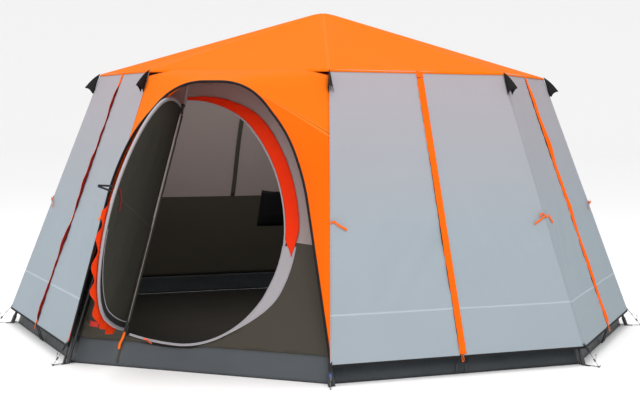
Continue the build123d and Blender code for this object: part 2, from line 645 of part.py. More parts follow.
with BuildPart() as fly_porch:
    crown_y = arch_point(0, ARCH_CORNERS[3][1]).Y + PORCH_SETBACK
    crown_x, crown_height = ARCH_CORNERS[3]
    eave_left = on_fly(-HALF_TURN, SHOULDER_HEIGHT)
    eave_right = on_fly(HALF_TURN, SHOULDER_HEIGHT)
    crown_right = Vector(crown_x, crown_y, crown_height)
    crown_left = Vector(-crown_x, crown_y, crown_height)
    extrude(cloth(eave_left, eave_right, crown_right, crown_left, gap=PORCH_GAP), amount=-CLOTH)
    for side in (-1, 1):
        eave = on_fly(side * HALF_TURN, SHOULDER_HEIGHT)
        seam = on_fly(side * HALF_TURN, SEAM_HEIGHT)
        hem = on_fly(side * HALF_TURN, PORCH_FOOT_HEIGHT)
        arch = [arch_point(side * x, height) for x, height in ARCH_CORNERS]
        set_back = [Vector(point.X, point.Y + PORCH_SETBACK, point.Z) for point in arch]
        foot, knee, haunch, crown = set_back
        foot = along(foot, knee, PORCH_FOOT_HEIGHT)
        for corners in ((eave, crown, haunch), (eave, haunch, seam), (seam, haunch, knee)):
            extrude(cloth(*corners, gap=PORCH_GAP), amount=-CLOTH)
        for corners in ((seam, knee, foot), (seam, foot, hem)):
            extrude(cloth(*corners, gap=PORCH_GAP), amount=-CLOTH)
fly_porch.part.label = "fly_porch"


def panel_points(turn, side):
    """Zip foot, zip head, shoulder, hem corner and fold foot of one half of a fly panel."""
    plane = panel_plane(turn)
    eave_y = plane.to_local_coords(on_fly(turn + HALF_TURN, SHOULDER_HEIGHT)).Y
    edge = PANEL_GAP[0] if side < 0 else PANEL_GAP[1]
    zip_foot = plane.from_local_coords((edge, 0, 0))
    zip_head = plane.from_local_coords((edge, eave_y, 0))
    shoulder = on_fly(turn + side * HALF_TURN, SHOULDER_HEIGHT)
    hem_corner = on_fly(turn + side * HALF_TURN, HEM_HEIGHT)
    fold_foot = along(hem_corner, zip_foot, FOLD_INSET)
    return zip_foot, zip_head, shoulder, hem_corner, fold_foot


with BuildPart() as fly_upper_walls:
    for turn in PANEL_TURNS:
        for side in (-1, 1):
            _, zip_head, shoulder, hem_corner, fold_foot = panel_points(turn, side)
            extrude(cloth(zip_head, shoulder, hem_corner, fold_foot), amount=-CLOTH)
fly_upper_walls.part.label = "fly_upper_walls"

with BuildPart() as corner_hoods:
    for turn in CORNER_TURNS:
        top = polar(turn, SHOULDER_RADIUS + 8, SHOULDER_HEIGHT + 3)
        tip = polar(turn, *HOOD_TIP)
        level = polar(turn + 90, 1, 0)
        root = polar(turn, fly_radius(HOOD_FOOT_HEIGHT) - 4, HOOD_FOOT_HEIGHT)
        for side in (-1, 1):
            beside_porch = turn in (CORNER_TURNS[0], CORNER_TURNS[-1]) and polar(turn, 1, 0).X * side < 0
            spread = -6 if beside_porch else HOOD_SPREAD
            foot = root + level * side * spread
            extrude(cloth(top, tip, foot), amount=CLOTH)
corner_hoods.part.label = "corner_hoods"

with BuildPart() as corner_ties:
    for turn in PANEL_TURNS:
        plane = panel_plane(turn)
        corner_at = plane.to_local_coords(on_fly(turn + HALF_TURN, TIE_HEIGHT))
        for side in (-1, 1):
            with BuildSketch(plane.offset(CLOTH)):
                middle = (side * (corner_at.X - TIE_REACH), corner_at.Y - 16)
                with Locations(Location(middle, side * TIE_DROOP)):
                    RectangleRounded(*TIE_SIZE, 3)
            extrude(amount=CLOTH)
corner_ties.part.label = "corner_ties"

# ---- Fly: flaps, storm strips and zip sliders ----------------------------------------------------
flaps = {}
sliders = {}
for turn, panel_name in zip(PANEL_TURNS, PANEL_NAMES):
    plane = panel_plane(turn)
    for side, side_name in ((-1, "left"), (1, "right")):
        zip_foot, zip_head, _, _, fold_foot = panel_points(turn, side)
        with BuildPart() as flap:
            extrude(cloth(zip_foot, zip_head, fold_foot), amount=-CLOTH)
            if side > 0:
                eave_y = plane.to_local_coords(zip_head).Y
                strip_top = eave_y - STRIP_TOP_GAP
                with BuildSketch(plane.offset(STRIP_LIFT)):
                    with Locations((0, SEAM_GAP)):
                        Rectangle(STRIP_WIDTH, strip_top, align=(Align.CENTER, Align.MIN))
                extrude(amount=CLOTH)
                with BuildSketch(plane.offset(-CLOTH)):
                    with Locations((STRIP_WEB[0], SEAM_GAP)):
                        web_width = STRIP_WEB[1] - STRIP_WEB[0]
                        Rectangle(web_width, strip_top, align=(Align.MIN, Align.MIN))
                extrude(amount=STRIP_LIFT + CLOTH)
        flap.part.label = f"{panel_name}_{side_name}_flap"
        flaps[flap.part.label] = flap
    with BuildPart() as slider:
        width, length, depth = SLIDER_SIZE
        with BuildSketch(plane.offset(STRIP_LIFT - CLOTH - depth)):
            with Locations((sum(PANEL_GAP) / 2, 6 + length / 2)):
                RectangleRounded(width, length, 4)
        extrude(amount=depth)
    slider.part.label = f"{panel_name}_zip_slider"
    sliders[slider.part.label] = slider

# ---- Ground hardware -----------------------------------------------------------------------------


def guy_plane(turn, distance):
    """Plane across a corner's peg line, this far down it, x level."""
    top, foot = polar(turn, *GUY_TOP), polar(turn, *GUY_FOOT)
    return Plane(along(top, foot, distance), x_dir=polar(turn + 90, 1, 0), z_dir=foot - top)


guy_length = (polar(0, *GUY_FOOT) - polar(0, *GUY_TOP)).length

with BuildPart() as corner_straps:
    for turn in CORNER_TURNS:
        with BuildSketch(guy_plane(turn, 0)):
            Rectangle(*STRAP_SIZE)
        extrude(amount=STRAP_LENGTH)
corner_straps.part.label = "corner_straps"

with BuildPart() as peg_lines:
    for turn in CORNER_TURNS:
        with BuildSketch(guy_plane(turn, STRAP_LENGTH)):
            Circle(LINE_RADIUS)
        extrude(amount=guy_length - STRAP_LENGTH)
peg_lines.part.label = "peg_lines"

with BuildPart() as line_runners:
    for turn in CORNER_TURNS:
        with BuildSketch(guy_plane(turn, RUNNER_START)):
            RectangleRounded(RUNNER_SIZE[0], RUNNER_SIZE[1], 2)
            Circle(LINE_RADIUS + FIT_CLEARANCE, mode=Mode.SUBTRACT)
        extrude(amount=RUNNER_SIZE[2])
line_runners.part.label = "line_runners"

with BuildPart() as ground_pegs:
    for turn in CORNER_TURNS:
        start = polar(turn, PEG_START, PEG_HEAD_RADIUS)
        end = polar(turn, PEG_END, PEG_HEAD_RADIUS)
        extrude(round_section(start, end, PEG_RADIUS), amount=PEG_END - PEG_START)
        head = polar(turn, PEG_END - PEG_HEAD_LENGTH, PEG_HEAD_RADIUS)
        extrude(round_section(head, end, PEG_HEAD_RADIUS), amount=PEG_HEAD_LENGTH)
ground_pegs.part.label = "ground_pegs"

TAB_START = FLOOR_RADIUS + 2
TAB_END = leg_radius(0) - FOOT_RADIUS - 8
with BuildPart() as floor_tabs:
    for turn in CORNER_TURNS:
        with BuildSketch(Plane(polar(turn, (TAB_START + TAB_END) / 2, 0.5), x_dir=polar(turn, 1, 0))):
            Rectangle(TAB_END - TAB_START, 16)
        extrude(amount=2)
floor_tabs.part.label = "floor_tabs"

with BuildPart() as hem_hooks:
    for turn in PANEL_TURNS:
        plane = panel_plane(turn)
        side_step = plane.x_dir
        floor_edge = polar(turn, FLOOR_RADIUS * FLAT_RATIO + 10, 7)
        for side in (-1, 1):
            top = plane.from_local_coords((side * HOOK_SPREAD, -8, -4))
            bottom = floor_edge + side_step * side * HOOK_SPREAD
            extrude(round_section(top, bottom, HOOK_CORD_RADIUS), amount=(bottom - top).length)
            with Locations(bottom):
                Sphere(4.5)
hem_hooks.part.label = "hem_hooks"

# ---- Export --------------------------------------------------------------------------------------
pieces = [
    roof_hub, hub_cap, roof_poles, pole_ferrules, shoulder_elbows, leg_tubes_upper, leg_tubes_lower,
    leg_feet, porch_arch_pole, porch_arch_feet, door_post, door_post_collars, door_hinge_fittings,
    door_leaf_stile, door_leaf_hoop, door_leaf_panel, door_leaf_storm_flap, door_leaf_strap,
    inner_front_wall, door_zip_tape, door_fixed_storm_flap, door_zip_slider, plain_patch,
    inner_side_walls, inner_roof, bathtub_walls, ground_sheet, inner_hooks, fly_roof, fly_porch,
    fly_upper_walls, corner_hoods, corner_ties, corner_straps, peg_lines, line_runners, ground_pegs,
    floor_tabs, hem_hooks,
]
for piece in pieces + list(flaps.values()) + list(sliders.values()):
    export_step(piece.part, f"parts/{piece.part.label}.step")
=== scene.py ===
import math

import bpy
from mathutils import Matrix, Vector, noise
from mathutils.geometry import delaunay_2d_cdt


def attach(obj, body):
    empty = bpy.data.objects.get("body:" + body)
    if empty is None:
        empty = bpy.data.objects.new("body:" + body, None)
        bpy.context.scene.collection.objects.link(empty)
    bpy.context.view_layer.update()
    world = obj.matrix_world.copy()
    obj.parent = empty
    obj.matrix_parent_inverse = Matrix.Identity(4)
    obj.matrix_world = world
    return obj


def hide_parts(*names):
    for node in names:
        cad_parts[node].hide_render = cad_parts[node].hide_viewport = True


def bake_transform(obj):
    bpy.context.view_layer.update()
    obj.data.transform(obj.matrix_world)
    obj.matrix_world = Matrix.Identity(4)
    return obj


# Looks of an octagonal frame tent. Metres, +Z up. The door side faces -Y, and turns are degrees
# about +Z from the door side towards +X, as in the CAD.

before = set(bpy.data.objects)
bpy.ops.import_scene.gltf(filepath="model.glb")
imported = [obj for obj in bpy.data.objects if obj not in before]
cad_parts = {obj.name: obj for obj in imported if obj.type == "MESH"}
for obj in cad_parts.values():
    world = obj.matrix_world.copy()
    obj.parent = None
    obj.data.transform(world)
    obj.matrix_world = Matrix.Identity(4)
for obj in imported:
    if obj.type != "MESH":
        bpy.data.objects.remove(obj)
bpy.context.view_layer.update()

# ---- Driving dimensions --------------------------------------------------------------------------
SIDE_TURN = 45
HALF_TURN = 22.5
FLAT = math.cos(math.radians(HALF_TURN))
SHOULDER_RADIUS, SHOULDER_HEIGHT, APEX_HEIGHT = 1.556, 1.758, 2.207
HEM_RADIUS, HEM_HEIGHT = 2.189, 0.120
INNER_SHOULDER_RADIUS, INNER_SHOULDER_HEIGHT, INNER_APEX = 1.480, 1.700, 2.100
FLOOR_RADIUS = 1.980 / FLAT
BATHTUB_HEIGHT = 0.145
BAND_HEIGHT = 0.80              # top of the inner tent's dark lower walls
WALL_SEAM_HEIGHT = 0.375        # seam across the fly's panels
PORCH_SEAM_HEIGHT = 1.36
ARCH_FOOT_Y, ARCH_LEAN = -2.022, 0.140
ARCH_CORNERS = ((0.860, 0.0), (0.612, 1.120), (0.498, 1.380), (0.230, 1.680))
HINGE_FOOT_AT, HINGE_HEAD_AT = (-0.504, 0.235), (-0.371, 1.550)
DOOR_OPEN_TURN = 77
OPENING_START = (1.430, 9.4)
OPENING_ARCS = ((0.617, 49.4), (1.121, 34.8), (0.672, 46.8), (0.552, 54.9), (1.660, 10.9))
LEAF_START = (1.376, 9.3)
LEAF_ARCS = ((0.608, 49.9), (1.074, 34.6), (0.696, 45.7), (0.441, 54.0), (1.750, 12.7))
HOOP_INSET = 0.010
STILE_OFFSET = 0.027
FOLD_INSET = 0.090
CLOTH = 0.0012
PANELS = {number: number * SIDE_TURN for number in range(1, 8)}
CORNERS = [SIDE_TURN * (index + 0.5) for index in range(8)]

# How far the left and right edges of a storm strip stand off, as a rule and on three panels.
STRIP_REST = (0.004, 0.002)
STRIP_AJAR = {7: (0.001, 0.019), 6: (0.006, 0.008), 2: (0.001, 0.013)}
STRIP_EDGES = (-0.0215, 0.0225)
STRIP_HEAD_LENGTH = 0.040       # fixed end of the strip, above the zip
TIE_HEIGHT = 0.870
HOOD_TIP = (1.668, 1.664)       # radius and height
HOOD_ROOT_HEIGHT = 1.622
PEG_LINE_TOP, PEG_LINE_FOOT = (2.196, 0.114), (2.284, 0.011)
ZIP_PULL_AT = (0.150, -0.064)   # door zip's puller and the sewn patch, in the front wall's plane
PATCH_AT, PATCH_SIZE = (-0.215, -0.030), (0.062, 0.034)

ROOT = "tent_frame"
LEAF = "door_leaf"


# ---- Lines of the shell --------------------------------------------------------------------------
def polar(turn, radius, height):
    """A point at a turn from the door side."""
    angle = math.radians(turn)
    return Vector((radius * math.sin(angle), -radius * math.cos(angle), height))


def fly_radius(height):
    share = (SHOULDER_HEIGHT - height) / (SHOULDER_HEIGHT - HEM_HEIGHT)
    return SHOULDER_RADIUS + (HEM_RADIUS - SHOULDER_RADIUS) * share


def inner_radius(height):
    return FLOOR_RADIUS - height * (FLOOR_RADIUS - INNER_SHOULDER_RADIUS) / INNER_SHOULDER_HEIGHT


def off_middle(turn):
    """How far a turn is from the middle of its side."""
    return (turn + HALF_TURN) % SIDE_TURN - HALF_TURN


def octagon(turn):
    """Distance to the octagon's edge at a turn, for a corner radius of 1."""
    return FLAT / math.cos(math.radians(off_middle(turn)))


def smooth(value, low, high):
    share = min(max((value - low) / (high - low), 0.0), 1.0)
    return share * share * (3 - 2 * share)


def mix(a, b, share):
    return a + (b - a) * share


def panel_axes(turn):
    """Hem middle, level direction, direction up the zip and outward direction of a fly panel."""
    hem = polar(turn, HEM_RADIUS * FLAT, HEM_HEIGHT)
    eave = polar(turn, SHOULDER_RADIUS * FLAT, SHOULDER_HEIGHT)
    level = polar(turn + 90, 1, 0)
    up = (eave - hem).normalized()
    return hem, level, up, level.cross(up)


PANEL_TOP = polar(0, SHOULDER_RADIUS * FLAT, SHOULDER_HEIGHT)
PANEL_LENGTH = (PANEL_TOP - polar(0, HEM_RADIUS * FLAT, HEM_HEIGHT)).length
HALF_HEM = HEM_RADIUS * math.sin(math.radians(HALF_TURN))
HALF_EAVE = SHOULDER_RADIUS * math.sin(math.radians(HALF_TURN))


def on_front_wall(x, height):
    return Vector((x, -inner_radius(height) * FLAT, height))


HINGE_FOOT = on_front_wall(*HINGE_FOOT_AT)
HINGE_AXIS = (on_front_wall(*HINGE_HEAD_AT) - HINGE_FOOT).normalized()


def door_frame(open_turn):
    """Matrix of the door leaf's plane: x away from the hinge, y up it, z outward."""
    normal = Vector((1, 0, 0)).cross(HINGE_AXIS).normalized()
    level = HINGE_AXIS.cross(normal)
    angle = math.radians(open_turn)
    away = level * math.cos(angle) + normal * math.sin(angle)
    out = away.cross(HINGE_AXIS)
    matrix = Matrix((away, HINGE_AXIS, out)).transposed().to_4x4()
    matrix.translation = HINGE_FOOT
    return matrix


WALL_FRAME = door_frame(0)
LEAF_FRAME = door_frame(DOOR_OPEN_TURN)


def door_edge(start, arcs, step=0.012):
    """Stations down the door's curved edge: point, outward direction and length so far."""
    height, heading = start
    point = Vector((0.0, height))
    length = 0.0
    stations = []
    for radius, turn in arcs:
        angle = math.radians(heading)
        centre = point + Vector((math.sin(angle), -math.cos(angle))) * radius
        count = max(2, round(radius * math.radians(turn) / step))
        for index in range(count):
            angle = math.radians(heading - turn * index / count)
            out = Vector((-math.sin(angle), math.cos(angle)))
            passed = radius * math.radians(turn) * index / count
            stations.append((centre + out * radius, out, length + passed))
        heading -= turn
        length += radius * math.radians(turn)
        angle = math.radians(heading)
        point = centre + Vector((-math.sin(angle), math.cos(angle))) * radius
    stations.append((point, Vector((-math.sin(angle), math.cos(angle))), length))
    return stations


OPENING = door_edge(OPENING_START, OPENING_ARCS)
LEAF_EDGE = door_edge(LEAF_START, LEAF_ARCS)


def arch_point(x, height):
    return Vector((x, ARCH_FOOT_Y + ARCH_LEAN * height, height))


def arch_route(lowest):
    """Centre line of the porch arch's pole from this height on the left round to the right."""
    right = [Vector(corner) for corner in ARCH_CORNERS]
    route = [Vector((-x, z)) for x, z in right] + [Vector((x, z)) for x, z in reversed(right)]
    first = route[0] + (route[1] - route[0]) * (lowest / (route[1].y - route[0].y))
    points = [first]
    for index in range(1, len(route) - 1):
        before, corner, after = route[index - 1 : index + 2]
        one, two = (before - corner), (after - corner)
        reach = 0.45 * min(one.length, two.length)
        start, end = corner + one.normalized() * reach, corner + two.normalized() * reach
        for step in range(13):
            share = step / 12
            points.append(start * (1 - share) ** 2 + corner * 2 * share * (1 - share) + end * share**2)
    points.append(Vector((-first.x, first.y)))
    return [arch_point(point.x, point.y) for point in points]


# ---- Materials -----------------------------------------------------------------------------------
def node_material(name):
    material = bpy.data.materials.new(name)
    material.use_nodes = True
    nodes, links = material.node_tree.nodes, material.node_tree.links
    shader = nodes["Principled BSDF"]
    return material, nodes, links, shader


def value_node(nodes, links, operation, first, second=0.0, third=None):
    node = nodes.new("ShaderNodeMath")
    node.operation = operation
    for socket, value in zip(node.inputs, (first, second, third)):
        if value is None:
            continue
        if isinstance(value, (int, float)):
            socket.default_value = value
        else:
            links.new(value, socket)
    return node.outputs[0]


def colour_mix(nodes, links, factor, first, second):
    node = nodes.new("ShaderNodeMix")
    node.data_type = "RGBA"
    for socket, value in ((node.inputs[0], factor), (node.inputs[6], first), (node.inputs[7], second)):
        if isinstance(value, (int, float)):
            socket.default_value = value
        elif isinstance(value, tuple):
            socket.default_value = (*value, 1)
        else:
            links.new(value, socket)
    return node.outputs[2]


def noise_node(nodes, links, scale, detail=3.0, vector=None, stretch=None):
    node = nodes.new("ShaderNodeTexNoise")
    node.inputs["Scale"].default_value = scale
    node.inputs["Detail"].default_value = detail
    if vector is None:
        vector = nodes.new("ShaderNodeTexCoord").outputs["Object"]
    if stretch:
        mapping = nodes.new("ShaderNodeMapping")
        mapping.inputs["Scale"].default_value = stretch
        links.new(vector, mapping.inputs[0])
        vector = mapping.outputs[0]
    links.new(vector, node.inputs["Vector"])
    return node.outputs["Fac"]


def fabric(name, colour, rough=0.78, sheen=0.0, weave=0.0011, mottle=0.05, seam=None, through=0.0,
           crease=0.0035, tint=None, tint_from=None, seam_highlight=0.35, stitched=0.7):
    """Woven cloth: threads, soft creases, faint mottling, stitched seams with a painted highlight along them,
    and light coming through.
    """
    material, nodes, links, shader = node_material(name)
    flat = nodes.new("ShaderNodeAttribute")
    flat.attribute_name = "flat"
    parts = nodes.new("ShaderNodeSeparateXYZ")
    links.new(flat.outputs["Vector"], parts.inputs[0])
    across, along, seam_at = parts.outputs
    patches = noise_node(nodes, links, 2.3, 4.0)
    fibres = noise_node(nodes, links, 420.0, 2.0)
    light = tuple(min(1.0, channel * (1 + mottle) + 0.004) for channel in colour)
    dark = tuple(channel * (1 - mottle) for channel in colour)
    base = colour_mix(nodes, links, patches, dark, light)
    grain = value_node(nodes, links, "MULTIPLY_ADD", fibres, 0.16, -0.03)
    base = colour_mix(nodes, links, grain, base, tuple(channel * 0.6 for channel in colour))
    if tint:
        place = nodes.new("ShaderNodeTexCoord")
        height = nodes.new("ShaderNodeSeparateXYZ")
        links.new(place.outputs["Object"], height.inputs[0])
        share = nodes.new("ShaderNodeMapRange")
        share.inputs["From Min"].default_value, share.inputs["From Max"].default_value = tint_from
        links.new(height.outputs[2], share.inputs["Value"])
        base = colour_mix(nodes, links, share.outputs[0], base, tint)
    warp = value_node(nodes, links, "SINE", value_node(nodes, links, "MULTIPLY", across, 2 * math.pi / weave))
    weft = value_node(nodes, links, "SINE", value_node(nodes, links, "MULTIPLY", along, 2 * math.pi / weave))
    threads = value_node(nodes, links, "MULTIPLY", warp, weft)
    creases = noise_node(nodes, links, 5.5, 5.0, stretch=(1.0, 1.0, 0.55))
    height = value_node(nodes, links, "MULTIPLY", creases, crease)
    height = value_node(nodes, links, "MULTIPLY_ADD", threads, weave * 0.10, height)
    if seam:
        off = value_node(nodes, links, "ABSOLUTE", seam_at)
        band = value_node(nodes, links, "LESS_THAN", off, seam)
        row = value_node(nodes, links, "COMPARE", off, seam * 0.62, 0.0009)
        gaps = value_node(nodes, links, "GREATER_THAN", value_node(nodes, links, "FRACT",
                          value_node(nodes, links, "MULTIPLY", along, 1 / 0.005)), 0.3)
        stitch = value_node(nodes, links, "MULTIPLY", row, gaps)
        # The seam band is painted lighter: a painted highlight standing in for light catching the seam's
        # raised fold.
        base = colour_mix(nodes, links, value_node(nodes, links, "MULTIPLY", band, seam_highlight), base,
                          tuple(min(1.0, channel * 1.25 + 0.03) for channel in colour))
        base = colour_mix(nodes, links, value_node(nodes, links, "MULTIPLY", stitch, stitched), base,
                          tuple(channel * 0.45 for channel in colour))
        height = value_node(nodes, links, "MULTIPLY_ADD", band, 0.0012, height)
        height = value_node(nodes, links, "MULTIPLY_ADD", stitch, -0.0007, height)
    bump = nodes.new("ShaderNodeBump")
    bump.inputs["Distance"].default_value = 1.0
    bump.inputs["Strength"].default_value = 0.8
    links.new(height, bump.inputs["Height"])
    links.new(base, shader.inputs["Base Color"])
    links.new(bump.outputs[0], shader.inputs["Normal"])
    shader.inputs["Roughness"].default_value = rough
    shader.inputs["Sheen Weight"].default_value = sheen
    shader.inputs["Sheen Roughness"].default_value = 0.4
    shader.inputs["Specular IOR Level"].default_value = 0.08
    if through:
        glow = nodes.new("ShaderNodeBsdfTranslucent")
        blend = nodes.new("ShaderNodeMixShader")
        blend.inputs[0].default_value = through
        links.new(base, glow.inputs["Color"])
        links.new(bump.outputs[0], glow.inputs["Normal"])
        links.new(shader.outputs[0], blend.inputs[1])
        links.new(glow.outputs[0], blend.inputs[2])
        links.new(blend.outputs[0], nodes["Material Output"].inputs["Surface"])
    return material


def webbing(name, colour, pitch=0.003):
    """Flat woven tape with diagonal ribs."""
    material, nodes, links, shader = node_material(name)
    place = nodes.new("ShaderNodeTexCoord")
    ribs = nodes.new("ShaderNodeTexWave")
    ribs.bands_direction = "DIAGONAL"
    ribs.inputs["Scale"].default_value = 0.3 / pitch
    ribs.inputs["Distortion"].default_value = 1.5
    links.new(place.outputs["Object"], ribs.inputs["Vector"])
    worn = noise_node(nodes, links, 60.0, 3.0)
    shade = value_node(nodes, links, "MULTIPLY", ribs.outputs["Fac"], worn)
    bright = tuple(min(1.0, channel * 1.7 + 0.004) for channel in colour)
    links.new(colour_mix(nodes, links, shade, colour, bright), shader.inputs["Base Color"])
    bump = nodes.new("ShaderNodeBump")
    bump.inputs["Distance"].default_value = 0.0006
    links.new(ribs.outputs["Fac"], bump.inputs["Height"])
    links.new(bump.outputs[0], shader.inputs["Normal"])
    shader.inputs["Roughness"].default_value = 0.8
    shader.inputs["Specular IOR Level"].default_value = 0.2
    return material


def moulded(name, colour, rough=0.45, grain=220.0):
    """Moulded plastic with a fine spark-eroded texture and slightly scuffed edges."""
    material, nodes, links, shader = node_material(name)
    fine = noise_node(nodes, links, grain, 4.0)
    scuff = noise_node(nodes, links, 18.0, 5.0)
    pale = tuple(min(1.0, channel * 1.5 + 0.03) for channel in colour)
    links.new(colour_mix(nodes, links, value_node(nodes, links, "MULTIPLY", scuff, 0.45), colour, pale),
              shader.inputs["Base Color"])
    links.new(value_node(nodes, links, "MULTIPLY_ADD", scuff, 0.25, rough - 0.1), shader.inputs["Roughness"])
    bump = nodes.new("ShaderNodeBump")
    bump.inputs["Distance"].default_value = 0.0004
    links.new(fine, bump.inputs["Height"])
    links.new(bump.outputs[0], shader.inputs["Normal"])
    return material


def metal(name, colour, rough=0.35, metallic=1.0, orange_peel=90.0):
    """Painted or plated steel with small variations in gloss and faint handling scratches."""
    material, nodes, links, shader = node_material(name)
    patches = noise_node(nodes, links, 12.0, 5.0)
    scratches = noise_node(nodes, links, 150.0, 2.0, stretch=(1.0, 1.0, 0.06))
    rubbed = tuple(min(1.0, channel * 1.6 + 0.05) for channel in colour)
    wear = value_node(nodes, links, "GREATER_THAN", scratches, 0.68)
    links.new(colour_mix(nodes, links, value_node(nodes, links, "MULTIPLY", wear, 0.4), colour, rubbed),
              shader.inputs["Base Color"])
    gloss = value_node(nodes, links, "MULTIPLY_ADD", patches, 0.22, rough - 0.1)
    links.new(gloss, shader.inputs["Roughness"])
    peel = noise_node(nodes, links, orange_peel, 2.0)
    bump = nodes.new("ShaderNodeBump")
    bump.inputs["Distance"].default_value = 0.0003
    links.new(peel, bump.inputs["Height"])
    links.new(bump.outputs[0], shader.inputs["Normal"])
    shader.inputs["Metallic"].default_value = metallic
    return material


ROOF = fabric("roof_cloth_orange", (0.93, 0.185, 0.001), seam=0.011, through=0.22, mottle=0.03)
PORCH_TOP = fabric("porch_cloth_light", (0.93, 0.185, 0.006), seam=0.009, through=0.20, mottle=0.03)
# The porch's lower sides use a darker copy of the porch cloth: painted shade where the cloth faces sideways,
# away from the light.
PORCH_SIDE_SHADED = fabric("porch_cloth_painted_shade", (0.95, 0.140, 0.000), seam=0.009, through=0.16, mottle=0.03)
STRIP = fabric("storm_strip_orange", (0.95, 0.120, 0.0), weave=0.0014)
# The storm strip's underside is painted dark red: painted shade on the back of the same orange strip.
STRIP_UNDERSIDE_SHADE = fabric("storm_strip_underside_shade", (0.26, 0.012, 0.008), weave=0.0014)
FLAP = fabric("storm_flap_red_orange", (0.86, 0.036, 0.004), weave=0.0014, seam=0.006, through=0.12)
LEAF_FLAP = fabric("leaf_flap_orange", (0.90, 0.050, 0.002), weave=0.0014, seam=0.006, through=0.12)
PANEL = fabric("panel_cloth_grey", (0.335, 0.385, 0.425), seam=0.006, through=0.14, mottle=0.035,
               seam_highlight=1.0, stitched=0.1, tint=(0.40, 0.365, 0.395), tint_from=(0.75, 1.75))
INNER_LIGHT = fabric("inner_cloth_pale", (0.44, 0.375, 0.365), seam=0.007, through=0.30, rough=0.85)
INNER_DARK = fabric("inner_cloth_dark", (0.064, 0.058, 0.046), seam=0.007, through=0.08, rough=0.8)
LEAF_DARK = fabric("leaf_cloth_dark", (0.048, 0.047, 0.037), seam=0.007, through=0.06, rough=0.75,
                   crease=0.006)
SKIRT = fabric("skirt_cloth_slate", (0.078, 0.086, 0.094), weave=0.0020, rough=0.5, seam=0.006,
               crease=0.012, mottle=0.16)
# The skirt's sides use a darker copy of the skirt cloth: painted shade where the fly panels' hem shadows
# them.
SKIRT_SIDE_SHADED = fabric("skirt_cloth_painted_shade", (0.046, 0.052, 0.057), weave=0.0020, rough=0.42, seam=0.006,
                    crease=0.030, mottle=0.30)
FLOOR = fabric("floor_cloth_dark", (0.040, 0.038, 0.034), weave=0.0020, rough=0.55, seam=0.006, crease=0.010)
TAPE = fabric("edge_tape_grey", (0.34, 0.325, 0.345), weave=0.0012, seam=0.008, crease=0.002)
PIPING = fabric("piping_pinkish_grey", (0.36, 0.30, 0.29), weave=0.0012, crease=0.002)
BINDING = webbing("binding_black", (0.012, 0.012, 0.013), 0.0016)
BLACK_WEB = webbing("webbing_black", (0.014, 0.014, 0.015))
BLUE_WEB = webbing("webbing_blue", (0.010, 0.095, 0.42))
TIE_WEB = webbing("tie_tape_orange", (0.90, 0.13, 0.006), 0.002)
CORD_GREY = webbing("cord_grey", (0.20, 0.20, 0.21), 0.0012)
CORD_BLACK = webbing("cord_black", (0.014, 0.014, 0.015), 0.0012)
CORD_RED = webbing("cord_dark_red", (0.22, 0.010, 0.012), 0.0012)
HOOD = fabric("hood_cloth_black", (0.010, 0.010, 0.011), weave=0.0015, rough=0.5, seam=0.005, crease=0.004)
ZIP_TAPE = webbing("zip_tape_black", (0.020, 0.020, 0.021), 0.0010)
BLACK_PLASTIC = moulded("plastic_black", (0.018, 0.018, 0.019))
ZIP_PULL = moulded("zip_pull_coral", (0.80, 0.110, 0.040), 0.5)
RED_PATCH = fabric("patch_red", (0.62, 0.045, 0.035), weave=0.0010, seam=0.004, crease=0.001)
POLE = metal("pole_black", (0.015, 0.015, 0.016), 0.30, 0.0)
LEG_PAINT = metal("leg_paint_black", (0.022, 0.023, 0.025), 0.38, 0.0)
PLATED = metal("steel_plated", (0.52, 0.52, 0.54), 0.30, 1.0)


# ---- Mesh pieces ---------------------------------------------------------------------------------
def add_piece(name, points, faces, materials, body, flats=None, picks=None, thick=0.0, lift=None):
    """A mesh that rides on a CAD body. flats give each point's place on the flat cloth, and lift moves
    each point along its normal."""
    mesh = bpy.data.meshes.new(name)
    mesh.from_pydata([tuple(point) for point in points], [], faces)
    materials = materials if isinstance(materials, (list, tuple)) else [materials]
    for material in materials:
        mesh.materials.append(material)
    if picks:
        mesh.polygons.foreach_set("material_index", picks)
    mesh.polygons.foreach_set("use_smooth", [True] * len(mesh.polygons))
    if flats:
        layer = mesh.attributes.new("flat", "FLOAT_VECTOR", "POINT")
        layer.data.foreach_set("vector", [value for flat in flats for value in flat])
    mesh.update()
    if lift:
        normals = [vertex.normal.copy() for vertex in mesh.vertices]
        for vertex, normal, flat in zip(mesh.vertices, normals, flats):
            vertex.co += normal * lift(flat, vertex.co)
        mesh.update()
    piece = bpy.data.objects.new(name, mesh)
    bpy.context.scene.collection.objects.link(piece)
    if thick:
        shell = piece.modifiers.new("cloth_thickness", "SOLIDIFY")
        shell.thickness = thick
        shell.offset = 0
    if body:
        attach(piece, body)
    return piece


def add_sheet(name, sheet, materials, body, thick=0.0):
    """A piece from (points, flats, faces)."""
    points, flats, faces = sheet
    return add_piece(name, points, faces, materials, body, flats, thick=thick)


def turned_over(faces, over=True):
    """Faces with their outside on the other side, where over is true."""
    return [tuple(reversed(face)) for face in faces] if over else faces


def grid(columns, rows, at, around=False):
    """Points, flat places and faces of a sheet from at(column, row)."""
    points, flats, faces = [], [], []
    for row in range(rows + 1):
        for column in range(columns + (0 if around else 1)):
            point, flat = at(column, row)
            points.append(point)
            flats.append(flat)
    width = columns if around else columns + 1
    for row in range(rows):
        for column in range(columns):
            following = (column + 1) % width
            faces.append((row * width + column, row * width + following,
                          (row + 1) * width + following, (row + 1) * width + column))
    return points, flats, faces


def joined(sheets):
    """Several (points, flats, faces) as one."""
    points, flats, faces = [], [], []
    for some_points, some_flats, some_faces in sheets:
        start = len(points)
        points += some_points
        flats += some_flats
        faces += [tuple(index + start for index in face) for face in some_faces]
    return points, flats, faces


def inside(point, loop):
    """Whether a flat point lies inside a closed loop."""
    crossings = False
    x, y = point
    for (x1, y1), (x2, y2) in zip(loop, loop[1:] + loop[:1]):
        if (y1 > y) != (y2 > y) and x < (x2 - x1) * (y - y1) / (y2 - y1) + x1:
            crossings = not crossings
    return crossings


